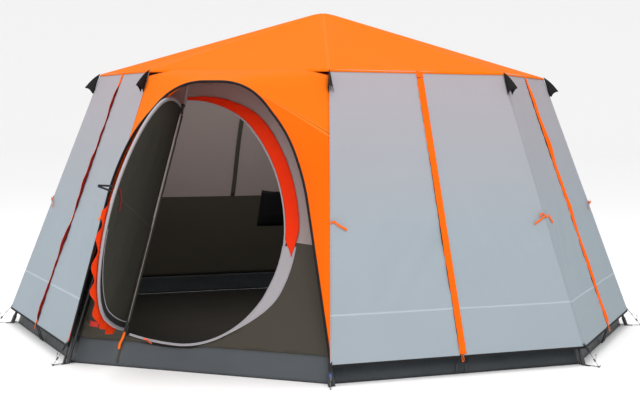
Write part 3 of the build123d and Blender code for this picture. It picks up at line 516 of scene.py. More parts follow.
def cut_sheet(outer, holes, spacing):
    """Flat points and triangles of a sheet cut to a loop with holes."""
    points, edges = [], []
    for loop in [outer] + holes:
        start = len(points)
        points += [Vector(point) for point in loop]
        edges += [(start + index, start + (index + 1) % len(loop)) for index in range(len(loop))]
    low = Vector((min(p[0] for p in outer), min(p[1] for p in outer)))
    high = Vector((max(p[0] for p in outer), max(p[1] for p in outer)))
    border = [Vector(p) for p in points]
    rows = int((high.y - low.y) / (spacing * 0.866)) + 1
    for row in range(rows):
        for column in range(int((high.x - low.x) / spacing) + 1):
            spot = Vector((low.x + (column + 0.5 * (row % 2)) * spacing, low.y + row * spacing * 0.866))
            if inside(spot, outer) and not any(inside(spot, hole) for hole in holes):
                if min((spot - other).length_squared for other in border) > (spacing * 0.5) ** 2:
                    points.append(spot)
    vertices, _, faces, _, _, _ = delaunay_2d_cdt(points, edges, [], 0, 1e-6)
    kept = []
    for face in faces:
        middle = sum((vertices[index] for index in face), Vector((0, 0))) / len(face)
        if inside(middle, outer) and not any(inside(middle, hole) for hole in holes):
            kept.append(tuple(face))
    return vertices, kept


def tube(route, radius, sides=10, squash=None):
    """Points, flats and faces of a tube along a route, with closed ends."""
    count = len(route)
    points, flats = [], []
    side = None
    length = 0.0
    for index, centre in enumerate(route):
        ahead = (route[min(index + 1, count - 1)] - route[max(index - 1, 0)]).normalized()
        if side is None:
            side = ahead.orthogonal().normalized()
        side = (side - ahead * side.dot(ahead)).normalized()
        other = ahead.cross(side)
        if index:
            length += (centre - route[index - 1]).length
        size = radius(index / (count - 1)) if callable(radius) else radius
        for step in range(sides):
            angle = 2 * math.pi * step / sides
            flat_by = squash or 1.0
            points.append(centre + side * math.cos(angle) * size + other * math.sin(angle) * size * flat_by)
            flats.append((size * angle, length, 1.0))
    faces = []
    for index in range(count - 1):
        for step in range(sides):
            following = (step + 1) % sides
            faces.append((index * sides + step, index * sides + following,
                          (index + 1) * sides + following, (index + 1) * sides + step))
    faces.append(tuple(reversed(range(sides))))
    faces.append(tuple((count - 1) * sides + step for step in range(sides)))
    return points, flats, faces


def ribbon(route, sideways, width, facing, thick=0.0012, crown=0.0):
    """A flat tape along a route: sideways and facing are directions, or lists of them."""
    points, flats = [], []
    length = 0.0
    for index, centre in enumerate(route):
        if index:
            length += (centre - route[index - 1]).length
        across = sideways[index] if isinstance(sideways, list) else sideways
        out = facing[index] if isinstance(facing, list) else facing
        wide = width(index / (len(route) - 1)) if callable(width) else width
        for place in (-0.5, -0.25, 0.0, 0.25, 0.5):
            bulge = out * crown * (1 - 4 * place * place)
            points.append(centre + across * wide * place + bulge)
            flats.append((wide * place, length, abs(abs(wide * place) - wide / 2)))
    faces = []
    for index in range(len(route) - 1):
        for step in range(4):
            low, high = index * 5 + step, (index + 1) * 5 + step
            faces.append((low, low + 1, high + 1, high))
    return points, flats, faces


def curve_route(points, steps=8):
    """A smooth route through points (Catmull-Rom)."""
    ends = [points[0] * 2 - points[1]] + list(points) + [points[-1] * 2 - points[-2]]
    route = []
    for index in range(1, len(ends) - 2):
        a, b, c, d = ends[index - 1 : index + 3]
        for step in range(steps):
            t = step / steps
            route.append(0.5 * ((2 * b) + (c - a) * t + (2 * a - 5 * b + 4 * c - d) * t * t
                                + (3 * b - a - 3 * c + d) * t**3))
    route.append(points[-1].copy())
    return route


def wrinkle(x, y, seed, scale=1.0):
    """Soft creases of hanging cloth, from -1 to 1."""
    slow = noise.noise(Vector((x * 2.1 * scale, y * 1.3 * scale, seed)))
    quick = noise.noise(Vector((x * 9.0 * scale, y * 3.5 * scale, seed + 7.3)))
    return 0.75 * slow + 0.25 * quick


# ---- Roof ----------------------------------------------------------------------------------------
def roof_column(column, per_side):
    """The side of the roof that a column of points is on, its turn from that side's middle, and its turn."""
    side, step = divmod(column, per_side)
    off = HALF_TURN * math.sin(math.pi / 2 * (2 * step / per_side - 1))
    return side, off, side * SIDE_TURN + off


def build_roof():
    """The fly's roof: one sheet over eight ridges, sagging a little between them, over the hub."""
    per_side, rings = 18, 52
    columns = per_side * 8
    slope = (APEX_HEIGHT - SHOULDER_HEIGHT) / SHOULDER_RADIUS

    def at(column, row):
        side, off, turn = roof_column(column, per_side)
        share = 0.012 + 0.988 * (row / rings) ** 0.9
        edge = SHOULDER_RADIUS * octagon(turn)
        radius = edge * share
        middle = math.cos(math.pi * off / SIDE_TURN)
        sag = 0.015 * middle * math.sin(math.pi * share) ** 0.8
        height = APEX_HEIGHT - share * SHOULDER_RADIUS * slope - sag
        height -= 0.010 * max(0.0, 1 - radius / 0.075) ** 2
        ridge = radius * math.sin(math.radians(HALF_TURN - abs(off)))
        ripple = 0.0035 * wrinkle(radius * math.radians(turn) * 0.8, radius, side * 3.1)
        ripple *= min(1, ridge / 0.12)
        return polar(turn, radius, height + ripple), (ridge, radius, ridge)

    points, flats, faces = grid(columns, rings, at, around=True)
    hem = []
    low = SHOULDER_HEIGHT - 0.013
    for column in range(columns):
        turn = roof_column(column, per_side)[2]
        hem.append(polar(turn, (fly_radius(low) + 0.003) * octagon(turn), low))
    start = len(points)
    points += hem
    flats += [(0.2, 0.0, 0.004)] * columns
    last = rings * columns
    for column in range(columns):
        following = (column + 1) % columns
        faces.append((last + column, last + following, start + following, start + column))
    faces.append(tuple(reversed(range(columns))))
    roof = add_piece("roof_canopy", points, faces, ROOF, ROOT, flats, thick=CLOTH)
    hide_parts("fly_roof")


# ---- Fly panels ----------------------------------------------------------------------------------
def panel_lift(flat, number, side):
    """How far a panel's cloth stands off its plane: slack between the corners, and small creases."""
    across, along = flat[0], flat[1]
    share = along / PANEL_LENGTH
    half = mix(HALF_HEM, HALF_EAVE, share)
    from_corner = max(0.0, half - abs(across))
    from_zip = abs(across)
    fade = smooth(from_corner, 0, 0.10) * smooth(share, 0.0, 0.05) * smooth(1 - share, 0.0, 0.05)
    seed = number * 5.7 + side * 2.3
    slack = -0.010 * math.sin(math.pi * min(1, from_corner / half)) * math.sin(math.pi * share)
    broad = 0.0065 * noise.noise(Vector((across * 2.4, along * 1.6, seed)))
    puckers = 0.0016 * math.sin(along * 2 * math.pi / 0.085 + 4 * noise.noise(Vector((along * 3, seed, 0))))
    puckers *= math.exp(-from_zip / 0.06)
    lean = along * 0.62 + from_zip
    pulls = 0.0065 * noise.noise(Vector((lean * 11.0, (along - from_zip) * 1.6, seed + 3.0)))
    pulls *= smooth(share, 0.05, 0.25) * smooth(0.62 - share, 0.0, 0.25)
    eave = 0.0025 * noise.noise(Vector((across * 13.0, along * 1.2, seed + 9.0))) * smooth(share, 0.72, 0.97)
    puckers *= smooth(share, 0, 0.04) * smooth(1 - share, 0, 0.08)
    return fade * (slack + broad + pulls + eave) + puckers


def build_panel(number, turn):
    """One fly panel: two cloths, a storm strip and a zip puller."""
    hem, level, up, out = panel_axes(turn)
    columns, rows = 34, 66
    hem_rows = 1
    for side, side_name in ((-1, "left"), (1, "right")):
        flap = f"panel_{number}_{side_name}_flap"
        zip_edge = -0.0090 if side < 0 else -0.0070
        tape_columns = 1

        def at(column, row):
            along = -0.004 + (PANEL_LENGTH + 0.004) * max(0, row - hem_rows) / (rows - hem_rows)
            if row == 0:
                along = -0.018
            share = along / PANEL_LENGTH
            corner = side * mix(HALF_HEM, HALF_EAVE, share)
            inner = zip_edge + side * 0.012
            if column < tape_columns:
                across = mix(zip_edge, inner, column / tape_columns)
            else:
                across = mix(inner, corner, (column - tape_columns) / (columns - tape_columns))
            seam_along = (WALL_SEAM_HEIGHT - HEM_HEIGHT) / (SHOULDER_HEIGHT - HEM_HEIGHT) * PANEL_LENGTH
            return hem + level * across + up * along, (across, along, along - seam_along)

        points, flats, faces = grid(columns, rows, at)
        picks = []
        for row in range(rows):
            for column in range(columns):
                picks.append(1 if row < hem_rows else 2 if column < tape_columns else 0)
        faces = turned_over(faces, side < 0)
        cloth = add_piece(f"panel_{number}_{side_name}_cloth", points, faces, [PANEL, BINDING, ZIP_TAPE],
                          None, flats, picks, CLOTH, lift=lambda flat, co: panel_lift(flat, number, side))
        head = hem + level * (-0.024 if side < 0 else 0.008) + up * PANEL_LENGTH
        foot = hem + level * side * (HALF_HEM - FOLD_INSET)
        line = (foot - head).normalized()
        towards = -level * side
        towards = (towards - line * towards.dot(line)).normalized()
        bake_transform(cloth)
        replaced = [flap] + (["fly_upper_walls"] if number == 1 and side < 0 else [])
        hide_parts(*replaced)
    build_strip(number, hem, level, up, out)
    build_zip_pull(number, hem, level, up, out)


def build_strip(number, hem, level, up, out):
    """The storm strip over the zip, sewn down its right edge and waving a little at its free one."""
    right_flap = f"panel_{number}_right_flap"
    top = PANEL_LENGTH - 0.046
    left_ajar, right_ajar = STRIP_AJAR.get(number, STRIP_REST)

    def at(column, row):
        along = 0.002 + (top - 0.002) * row / 100
        share = column / 10
        across = mix(*STRIP_EDGES, share)
        wave = noise.noise(Vector((along * 7.0, number * 3.3, 0.5)))
        small = noise.noise(Vector((along * 23.0, number * 1.7, 4.5)))
        ends = smooth(top - along, 0.0, 0.12) * smooth(along, 0.0, 0.05)
        left, right = max(0.0, 1 - share * 1.6) ** 1.3 * ends, max(0.0, share * 2.2 - 1.2) ** 1.2 * ends
        rise = 0.0038 + left * (left_ajar * (0.75 + wave) + 0.0022 * small)
        rise += right * (right_ajar * (0.85 + 0.9 * wave) + 0.0015 * small)
        across += 0.0035 * wave * left - 0.45 * right * right_ajar
        return hem + level * across + up * along + out * rise, (across, along, min(share, 1 - share) * 0.044)

    points, flats, faces = grid(10, 100, at)
    strip = add_piece(f"panel_{number}_storm_strip", points, faces, [STRIP, STRIP_UNDERSIDE_SHADE], right_flap, flats)
    # The shell gives the strip's underside the dark red copy, painted shade on its back face.
    shell = strip.modifiers.new("cloth_thickness", "SOLIDIFY")
    shell.thickness, shell.offset, shell.material_offset = CLOTH, -1, 1

    def head_at(column, row):
        along = top + 0.004 + STRIP_HEAD_LENGTH * row / 4
        across = mix(*STRIP_EDGES, column / 6)
        rise = 0.0038 - 0.0014 * row / 4
        return hem + level * across + up * along + out * rise, (across, along, 0.02)

    cap = add_sheet(f"panel_{number}_strip_head", grid(6, 4, head_at), STRIP, ROOT, thick=CLOTH)


def build_zip_pull(number, hem, level, up, out):
    """Zip slider with a bridge and a short cord loop that hangs over the hem."""
    slider_body = f"panel_{number}_zip_slider"
    base = hem - level * 0.008 + up * 0.006
    shell = []
    for half in (-1, 1):
        def at(column, row, half=half):
            x = -0.006 + 0.012 * column / 6
            y = 0.026 * row / 10
            taper = 0.72 + 0.28 * math.sin(math.pi * row / 10)
            dome = 0.0011 * (1 - (column / 3 - 1) ** 2)
            return base + level * x * taper + up * y + out * (half * (0.0008 + dome)), (x, y, 1.0)
        points, flats, faces = grid(6, 10, at)
        shell.append((points, flats, turned_over(faces, half < 0)))
    bridge = [base + up * 0.004 + out * 0.002, base + up * 0.008 + out * 0.0042,
              base + up * 0.015 + out * 0.0042, base + up * 0.020 + out * 0.002]
    shell.append(tube(curve_route(bridge, 4), 0.0011, 8))
    pull = add_sheet(f"panel_{number}_zip_pull", joined(shell), BLACK_PLASTIC, slider_body)
    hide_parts(slider_body)
    loop = [base + up * 0.010 + out * 0.003, base - up * 0.006 + out * 0.007 + level * 0.004,
            base - up * 0.036 + out * 0.005 + level * 0.007, base - up * 0.048 + out * 0.003,
            base - up * 0.036 + out * 0.003 - level * 0.004, base - up * 0.006 + out * 0.006 - level * 0.003,
            base + up * 0.010 + out * 0.0028]
    points, flats, faces = tube(curve_route(loop, 5), 0.0016, 8)
    cord = add_piece(f"panel_{number}_pull_loop", points, faces, TIE_WEB, slider_body, flats)


# ---- Porch ---------------------------------------------------------------------------------------
def build_porch():
    """Porch cloth: one sheet drawn from the front corner edges and the eave out to the arch pole."""
    arch = arch_route(0.125)
    lengths = [0.0]
    for before, after in zip(arch, arch[1:]):
        lengths.append(lengths[-1] + (after - before).length)
    half_length = lengths[-1] / 2

    def on_arch(distance):
        for index in range(1, len(arch)):
            if lengths[index] >= distance:
                share = (distance - lengths[index - 1]) / (lengths[index] - lengths[index - 1])
                return mix(arch[index - 1], arch[index], share)
        return arch[-1]

    def shell_point(key):
        """A point of the back edge: 0 to 1 up the corner edge, 1 to 2 along the eave to its middle."""
        if key <= 1:
            height = mix(HEM_HEIGHT, SHOULDER_HEIGHT, key)
            return polar(-HALF_TURN, fly_radius(height), height)
        return mix(polar(-HALF_TURN, SHOULDER_RADIUS, SHOULDER_HEIGHT),
                   polar(0, SHOULDER_RADIUS * FLAT, SHOULDER_HEIGHT), key - 1)

    seam_key = (PORCH_SEAM_HEIGHT - HEM_HEIGHT) / (SHOULDER_HEIGHT - HEM_HEIGHT)
    seam_share = 0.90
    arch_keys = ((0, 0.0), (0.50, 0.66 * seam_key), (0.72, 0.87 * seam_key), (seam_share, seam_key),
                 (0.955, 1.0), (1.0, 2.0))

    def back_key(share):
        for (low, first), (high, second) in zip(arch_keys, arch_keys[1:]):
            if share <= high:
                return mix(first, second, (share - low) / (high - low))
        return 2.0

    columns, rows = 120, 22

    def at(column, row):
        share = column / columns
        mirrored = share > 0.5
        part = (1 - share if mirrored else share) * 2
        front = on_arch(part * half_length)
        back = shell_point(back_key(part))
        across = row / rows
        point = mix(back, front, across)
        wide = (front - back).length
        fade = math.sin(math.pi * across) * smooth(part, 0.0, 0.1)
        dip = 0.045 * wide * fade * smooth(0.80 - part, 0.0, 0.25) - 0.010 * fade * smooth(part, 0.72, 0.86)
        centre = Vector((0, -1.2, 0.8))
        point += (centre - point).normalized() * dip
        ripple = 0.004 * fade * wrinkle(part * 2.4, across * wide * 2, 2.0 + mirrored)
        point += (point - centre).normalized() * ripple
        if row == rows:
            point += Vector((0, 0.0065, 0.001))
        if mirrored:
            point.x = -point.x
        seam = abs(part - seam_share) * half_length
        return point, (wide * across, part * half_length, seam)

    points, flats, faces = grid(columns, rows, at)
    # Faces beyond the seam take the darker copy of the cloth, painted shade on the sideways-facing porch
    # sides.
    picks = []
    for row in range(rows):
        for column in range(columns):
            part = 1 - abs((column + 0.5) / columns * 2 - 1)
            picks.append(0 if part > seam_share else 1)
    porch = add_piece("porch_cloth_front", points, faces, [PORCH_TOP, PORCH_SIDE_SHADED], ROOT, flats, picks, CLOTH)
    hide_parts("fly_porch")

    sleeve_route = arch_route(0.10)
    fine = []
    for before, after in zip(sleeve_route, sleeve_route[1:]):
        count = max(1, round((after - before).length / 0.03))
        fine += [mix(before, after, index / count) for index in range(count)]
    fine.append(sleeve_route[-1])

    def sleeve_radius(share):
        return 0.0074 + 0.0005 * noise.noise(Vector((share * 90, 0, 0)))

    sleeve = add_sheet("porch_arch_sleeve", tube(fine, sleeve_radius, 12), HOOD, ROOT)


# ---- Hoods, ties and ground hardware -------------------------------------------------------------
def build_hoods():
    """Black rain hoods over the shoulders: a fold of stiff cloth with a notched lower edge."""
    sheets = []
    for turn in CORNERS:
        top = polar(turn, SHOULDER_RADIUS + 0.004, SHOULDER_HEIGHT + 0.005)
        tip = polar(turn, *HOOD_TIP)
        level = polar(turn + 90, 1, 0)
        root = polar(turn, fly_radius(HOOD_ROOT_HEIGHT) + 0.003, HOOD_ROOT_HEIGHT)
        beside_porch = turn in (CORNERS[0], CORNERS[-1])
        for side in (-1, 1):
            door_side = beside_porch and (polar(turn, 1, 0).x * side) < 0
            foot = root + level * side * (0.002 if door_side else 0.024)

            def at(column, row, side=side, foot=foot):
                across, down = column / 8, row / 14
                ridge = mix(top, tip, down) + Vector((0, 0, 0.010 * math.sin(math.pi * down)))
                edge = mix(top, foot, down)
                point = mix(ridge, edge, across)
                bulge = 0.009 * math.sin(math.pi * across) * down
                point += level * side * bulge
                notch = 0.011 * math.sin(math.pi * across) * down**3
                point += (top - point).normalized() * notch
                return point, (across * 0.1, down * 0.16, min(across * 0.1 * down, (1 - down) * 0.14))

            points, flats, faces = grid(8, 14, at)
            sheets.append((points, flats, turned_over(faces, side < 0)))
    hoods = add_sheet("corner_rain_hoods", joined(sheets), HOOD, ROOT, thick=0.0016)
    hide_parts("corner_hoods")


def build_ties():
    """Orange toggle tapes at the corner edges, half way up."""
    sheets = []
    for number, turn in PANELS.items():
        hem, level, up, out = panel_axes(turn)
        along = (TIE_HEIGHT - HEM_HEIGHT) / (SHOULDER_HEIGHT - HEM_HEIGHT) * PANEL_LENGTH
        half = mix(HALF_HEM, HALF_EAVE, along / PANEL_LENGTH)
        slope = (up * 0.8 + out * 0.5).normalized()
        for side in (-1, 1):
            bow = 0.012 if side > 0 else 0.004
            keys = ((0.002, 0.004, 0.003), (0.022, 0.010, 0.010 + bow), (0.048, -0.010, 0.012),
                    (0.074, -0.024, 0.009), (0.098, -0.038, 0.008))
            route = curve_route([hem + level * side * (half - x) + up * (along + y) + out * z
                                 for x, y, z in keys], 6)
            sheets.append(ribbon(route, slope, 0.015, out, crown=0.0012))
            if side > 0:
                keys = ((0.012, 0.006, 0.006), (0.030, 0.022, 0.018), (0.055, 0.018, 0.020),
                        (0.040, 0.000, 0.012))
                route = curve_route([hem + level * side * (half - x) + up * (along + y) + out * z
                                     for x, y, z in keys], 6)
                sheets.append(ribbon(route, slope, 0.012, out, crown=0.001))
    ties = add_sheet("corner_tie_tapes", joined(sheets), TIE_WEB, ROOT, thick=0.0014)
    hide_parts("corner_ties")


def build_guys():
    """Webbing, peg line with a runner and tail, floor strap and bent peg at each corner."""
    straps, blue, lines, runners, pegs, tabs, grips = [], [], [], [], [], [], []

    def peg_radius(share):
        return 0.0030 - 0.0012 * max(0, 0.1 - share) / 0.1

    for turn in CORNERS:
        level = polar(turn + 90, 1, 0)
        outward = polar(turn, 1, 0)
        top, foot = polar(turn, *PEG_LINE_TOP), polar(turn, *PEG_LINE_FOOT)
        down = (foot - top).normalized()
        face = level.cross(down)
        strap_end = top + down * 0.044
        route = [polar(turn, 2.180, 0.134), top, mix(top, strap_end, 0.5), strap_end]
        straps.append(ribbon(curve_route(route, 5), level, 0.020, face, crown=0.0006))
        if turn == CORNERS[0]:
            tail = [strap_end - down * 0.012 + face * 0.003, strap_end + down * 0.006 + face * 0.006,
                    strap_end + down * 0.024 + face * 0.005]
            blue.append(ribbon(curve_route(tail, 5), level, 0.017, face, crown=0.0006))
        buckle = strap_end + down * 0.002
        ring = [buckle + (level * math.cos(a) * 0.011 + down * math.sin(a) * 0.006)
                for a in [2 * math.pi * i / 20 for i in range(21)]]
        runners.append(tube(ring, 0.0021, 8))
        middle = mix(buckle, foot, 0.5) - Vector((0, 0, 0.0015))
        lines.append(tube([buckle + down * 0.004, middle, foot], 0.0015, 8))
        grip = top + down * 0.098
        body = [grip + down * (0.018 * i / 8 - 0.009) for i in range(9)]
        runners.append(tube(body, lambda share: 0.0046 + 0.0014 * abs(2 * share - 1), 10, squash=0.62))
        tail = [grip, grip + level * 0.004 + Vector((0, 0, 0.014)) + outward * 0.006,
                grip + level * 0.008 + Vector((0, 0, 0.030)) + outward * 0.004]
        lines.append(tube(curve_route(tail, 6), 0.0013, 8))
        grips.append(tube([tail[-1] - Vector((0, 0, 0.004)), tail[-1] + Vector((0, 0, 0.006))], 0.0024, 8))
        height = 0.0046
        shaft = [polar(turn, 2.236, height), polar(turn, 2.262, height), polar(turn, 2.288, height)]
        hook = [polar(turn, 2.296, height + 0.001), polar(turn, 2.301, height + 0.005) + level * 0.001,
                polar(turn, 2.299, height + 0.012) + level * 0.002]
        pegs.append(tube(curve_route(shaft + hook, 6), peg_radius, 10))
        collar = [polar(turn, 2.284, height), polar(turn, 2.288, height), polar(turn, 2.296, height + 0.0008)]
        grips.append(tube(collar, 0.0046, 12))
        tab_start = polar(turn, FLOOR_RADIUS - 0.004, 0.006)
        tab_end = polar(turn, 2.166, 0.004)
        tab_middle = mix(tab_start, tab_end, 0.5) + Vector((0, 0, 0.002))
        tabs.append(ribbon(curve_route([tab_start, tab_middle, tab_end], 5), level, 0.018, Vector((0, 0, 1)),
                           crown=0.0005))
        tabs.append(tube([polar(turn, 2.156, 0.012), polar(turn, 2.176, 0.006), polar(turn, 2.205, 0.0052)],
                         0.0016, 8))
    for name, sheets, material, nodes, slot in (
        ("corner_strap_tapes", straps, BLACK_WEB, ("corner_straps",), "black_webbing"),
        ("corner_strap_tape_blue", blue, BLUE_WEB, (), "black_webbing"),
        ("peg_line_cords", lines, CORD_GREY, ("peg_lines",), "line_cord"),
        ("line_runner_grips", runners, BLACK_PLASTIC, ("line_runners",), "black_plastic"),
        ("peg_wires", pegs, PLATED, ("ground_pegs",), "steel_peg"),
        ("peg_grips", grips, BLACK_PLASTIC, (), "black_plastic"),
        ("floor_tab_tapes", tabs, BLACK_WEB, ("floor_tabs",), "black_webbing"),
    ):
        points, flats, faces = joined(sheets)
        thick = 0.0016 if "tape" in name else 0
        piece = add_piece(name, points, faces, material, ROOT, flats, thick=thick)
        if nodes:
            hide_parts(*nodes)


def build_hem_hooks():
    """Elastic cords with hooks that hold each panel's hem to the floor's edge beside the zip."""
    cords, hooks = [], []
    for number, turn in PANELS.items():
        hem, level, up, out = panel_axes(turn)
        edge = polar(turn, FLOOR_RADIUS * FLAT + 0.010, 0.008)
        for side in (-1, 1):
            top = hem + level * side * 0.030 - up * 0.008 - out * 0.004
            bottom = edge + level * side * 0.030
            knot = mix(top, bottom, 0.45) + level * side * 0.002
            cords.append(tube(curve_route([top, knot, bottom], 5), 0.0027, 8))
            second = [top + level * side * 0.010, knot + level * side * 0.006, bottom]
            cords.append(tube(curve_route(second, 5), 0.0018, 8))
            hook_route = [knot, mix(knot, bottom, 0.4) + out * 0.004, mix(knot, bottom, 0.8) + out * 0.006,
                          bottom + out * 0.002, bottom - out * 0.004 + up * 0.008]
            hooks.append(tube(curve_route(hook_route, 5), lambda share: 0.0048 - 0.0016 * share, 10))
    elastic = add_sheet("hem_elastics", joined(cords), CORD_BLACK, ROOT)
    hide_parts("hem_hooks")
    hook = add_sheet("hem_hook_plastic", joined(hooks), BLACK_PLASTIC, ROOT)


# ---- Inner tent ----------------------------------------------------------------------------------
def build_inner_walls():
    """Side walls of the inner tent, dark below and pale above."""
    columns = 7 * 22
    rows = 44

    def wall_at(column, row):
        turn = HALF_TURN + 315 * column / columns
        height = mix(BATHTUB_HEIGHT, INNER_SHOULDER_HEIGHT, row / rows)
        off = off_middle(turn)
        middle = math.cos(math.pi * off / SIDE_TURN)
        sag = 0.014 * middle * math.sin(math.pi * row / rows)
        ripple = 0.010 * wrinkle(turn * 0.03, height, 5.0) * middle * math.sin(math.pi * row / rows)
        radius = inner_radius(height) * octagon(turn) - sag + ripple
        across = inner_radius(height) * math.radians(turn)
        seam = min((HALF_TURN - abs(off)) * 0.03, abs(height - BAND_HEIGHT))
        return polar(turn, radius, height), (across, height, seam)

    points, flats, faces = grid(columns, rows, wall_at)
    band_row = (BAND_HEIGHT - BATHTUB_HEIGHT) / (INNER_SHOULDER_HEIGHT - BATHTUB_HEIGHT) * rows
    picks = [1 if face // columns + 0.5 < band_row else 0 for face in range(len(faces))]
    walls = add_piece("inner_wall_cloth", points, faces, [INNER_LIGHT, INNER_DARK], ROOT, flats, picks, CLOTH)
    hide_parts("inner_side_walls")


def build_ceiling():
    """Ceiling of the inner tent, sagging between the roof poles."""
    per_side, rings = 12, 24

    def ceiling_at(column, row):
        turn = column * 360 / (per_side * 8) - HALF_TURN
        off = off_middle(turn)
        share = 0.02 + 0.98 * row / rings
        middle = math.cos(math.pi * off / SIDE_TURN)
        sag = 0.030 * middle * math.sin(math.pi * share) + 0.010 * math.sin(math.pi * share)
        radius = INNER_SHOULDER_RADIUS * octagon(turn) * share
        height = mix(INNER_APEX, INNER_SHOULDER_HEIGHT, share) - sag
        seam = (HALF_TURN - abs(off)) * 0.02
        return polar(turn, radius, height), (radius * math.radians(off), radius, seam)

    points, flats, faces = grid(per_side * 8, rings, ceiling_at, around=True)
    faces.append(tuple(reversed(range(per_side * 8))))
    ceiling = add_piece("inner_ceiling_cloth", points, faces, INNER_LIGHT, ROOT, flats, thick=CLOTH)
    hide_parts("inner_roof")


def build_skirt():
    """The floor's turned-up edge, cut down below the doorway."""
    def skirt_at(column, row):
        turn = column * 360 / 176 - HALF_TURN
        height = mix(0.003, BATHTUB_HEIGHT, row / 8)
        off = off_middle(turn)
        middle = math.cos(math.pi * off / SIDE_TURN)
        slump = 0.008 * math.sin(math.pi * row / 8)
        crumple = 0.010 * noise.noise(Vector((turn * 0.22, height * 9, 1.0))) * math.sin(math.pi * row / 8)
        crumple += 0.006 * noise.noise(Vector((turn * 0.7, height * 22, 6.0))) * math.sin(math.pi * row / 8)
        radius = inner_radius(height) * octagon(turn) + (slump + crumple) * (0.5 + 0.5 * middle)
        if abs(turn) < HALF_TURN and row == 8:
            point = polar(turn, radius, height)
            local = WALL_FRAME.inverted() @ point
            lowest = [p.y for p, _, _ in OPENING if abs(p.x - local.x) < 0.012 and p.y < 0.2]
            if lowest and min(lowest) - 0.024 < local.y:
                point = WALL_FRAME @ Vector((local.x, min(lowest) - 0.024, 0))
            return point, (0.04 * turn, height, 0.004)
        return polar(turn, radius, height), (0.04 * turn, height, BATHTUB_HEIGHT - height)

    points, flats, faces = grid(176, 8, skirt_at, around=True)
    # Faces away from the front take the darker copy, painted shade under the fly panels' hem.
    picks = [0 if face % 176 < 22 else 1 for face in range(len(faces))]
    skirt = add_piece("floor_skirt_cloth", points, faces, [SKIRT, SKIRT_SIDE_SHADED], ROOT, flats, picks, CLOTH)
    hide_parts("bathtub_walls")


def build_floor():
    """The floor, laid flat with faint ripples."""
    def floor_at(column, row):
        turn = column * 360 / 96 - HALF_TURN
        share = 0.01 + 0.99 * row / 40
        radius = FLOOR_RADIUS * octagon(turn) * share
        place = polar(turn, radius, 0)
        ripple = 0.004 + 0.003 * noise.noise(Vector((place.x * 2.5, place.y * 2.5, 3.0)))
        rise = ripple * smooth(1 - share, 0.0, 0.05)
        return polar(turn, radius, 0.0012 + rise), (place.x, place.y, abs(place.x) % 1.0)

    points, flats, faces = grid(96, 40, floor_at, around=True)
    faces.append(tuple(reversed(range(96))))
    floor = add_piece("floor_cloth", points, faces, FLOOR, ROOT, flats, thick=CLOTH)
    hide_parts("ground_sheet")


def build_pocket():
    """A dark pocket and a hanging strap on a rear wall of the inner tent."""
    turn = 5 * SIDE_TURN
    level, inward = polar(turn + 90, 1, 0), -polar(turn, 1, 0)

    def on_wall(x, height, off):
        return polar(turn, inner_radius(height) * FLAT, height) + level * x + inward * off

    def pocket_at(column, row):
        x = mix(-0.45, -0.19, column / 12)
        height = mix(0.56, 0.86, row / 12)
        edge = min(column, 12 - column, row) / 12
        sag = 0.012 * smooth(row / 12, 0.5, 1.0) * math.sin(math.pi * column / 12)
        return on_wall(x, height - sag, 0.022 + 0.030 * smooth(edge, 0.0, 0.3)), (x, height, edge * 0.2)

    pocket = add_sheet("inner_wall_pocket", grid(12, 12, pocket_at), HOOD, ROOT, thick=CLOTH)
    route = [on_wall(0.065 + 0.004 * math.sin(5 * share), mix(1.50, 0.82, share), 0.026)
             for share in [index / 20 for index in range(21)]]
    points, flats, faces = ribbon(route, level, 0.034, inward, crown=0.001)
    strap = add_piece("inner_wall_strap", points, faces, INNER_DARK, ROOT, flats, thick=CLOTH)


def build_front_wall():
    """Front wall of the inner tent with its doorway cut out."""
    to_wall = WALL_FRAME.inverted()
    corners = [to_wall @ polar(turn, inner_radius(height), height)
               for turn, height in ((-HALF_TURN, BATHTUB_HEIGHT), (HALF_TURN, BATHTUB_HEIGHT),
                                    (HALF_TURN, INNER_SHOULDER_HEIGHT), (-HALF_TURN, INNER_SHOULDER_HEIGHT))]
    corners = [(point.x, point.y) for point in corners]
    band = (to_wall @ on_front_wall(0, BAND_HEIGHT)).y
    hole = [(point + out * 0.012) for point, out, _ in OPENING]
    hole = [(max(point.x, 0.012), point.y) for point in hole] + [(0.012, OPENING[-1][0].y - 0.012)]
    outline = []
    for (x1, y1), (x2, y2) in zip(corners, corners[1:] + corners[:1]):
        count = max(1, round(math.hypot(x2 - x1, y2 - y1) / 0.03))
        outline += [(mix(x1, x2, i / count), mix(y1, y2, i / count)) for i in range(count)]
    lowest = min(point[1] for point in hole)
    base = corners[0][1]
    if lowest < base + 0.004:
        hole = [(x, max(y, base + 0.004)) for x, y in hole]
    vertices, faces = cut_sheet(outline, [[tuple(point) for point in hole]], 0.026)
    points = []
    flats = []
    for vertex in vertices:
        edge = min((vertex - point).length for point, _, _ in OPENING[::3])
        fade = smooth(edge, 0.01, 0.12)
        ripple = 0.007 * wrinkle(vertex.x * 1.6, vertex.y * 1.2, 8.0) * fade
        points.append(WALL_FRAME @ Vector((vertex.x, vertex.y, ripple)))
        flats.append((vertex.x, vertex.y, vertex.y - band))
    picks = []
    for face in faces:
        middle = sum(vertices[index].y for index in face) / len(face)
        picks.append(1 if middle < band else 0)
    wall = add_piece("inner_front_cloth", points, faces, [INNER_LIGHT, INNER_DARK], ROOT, flats, picks, CLOTH)
    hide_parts("inner_front_wall")


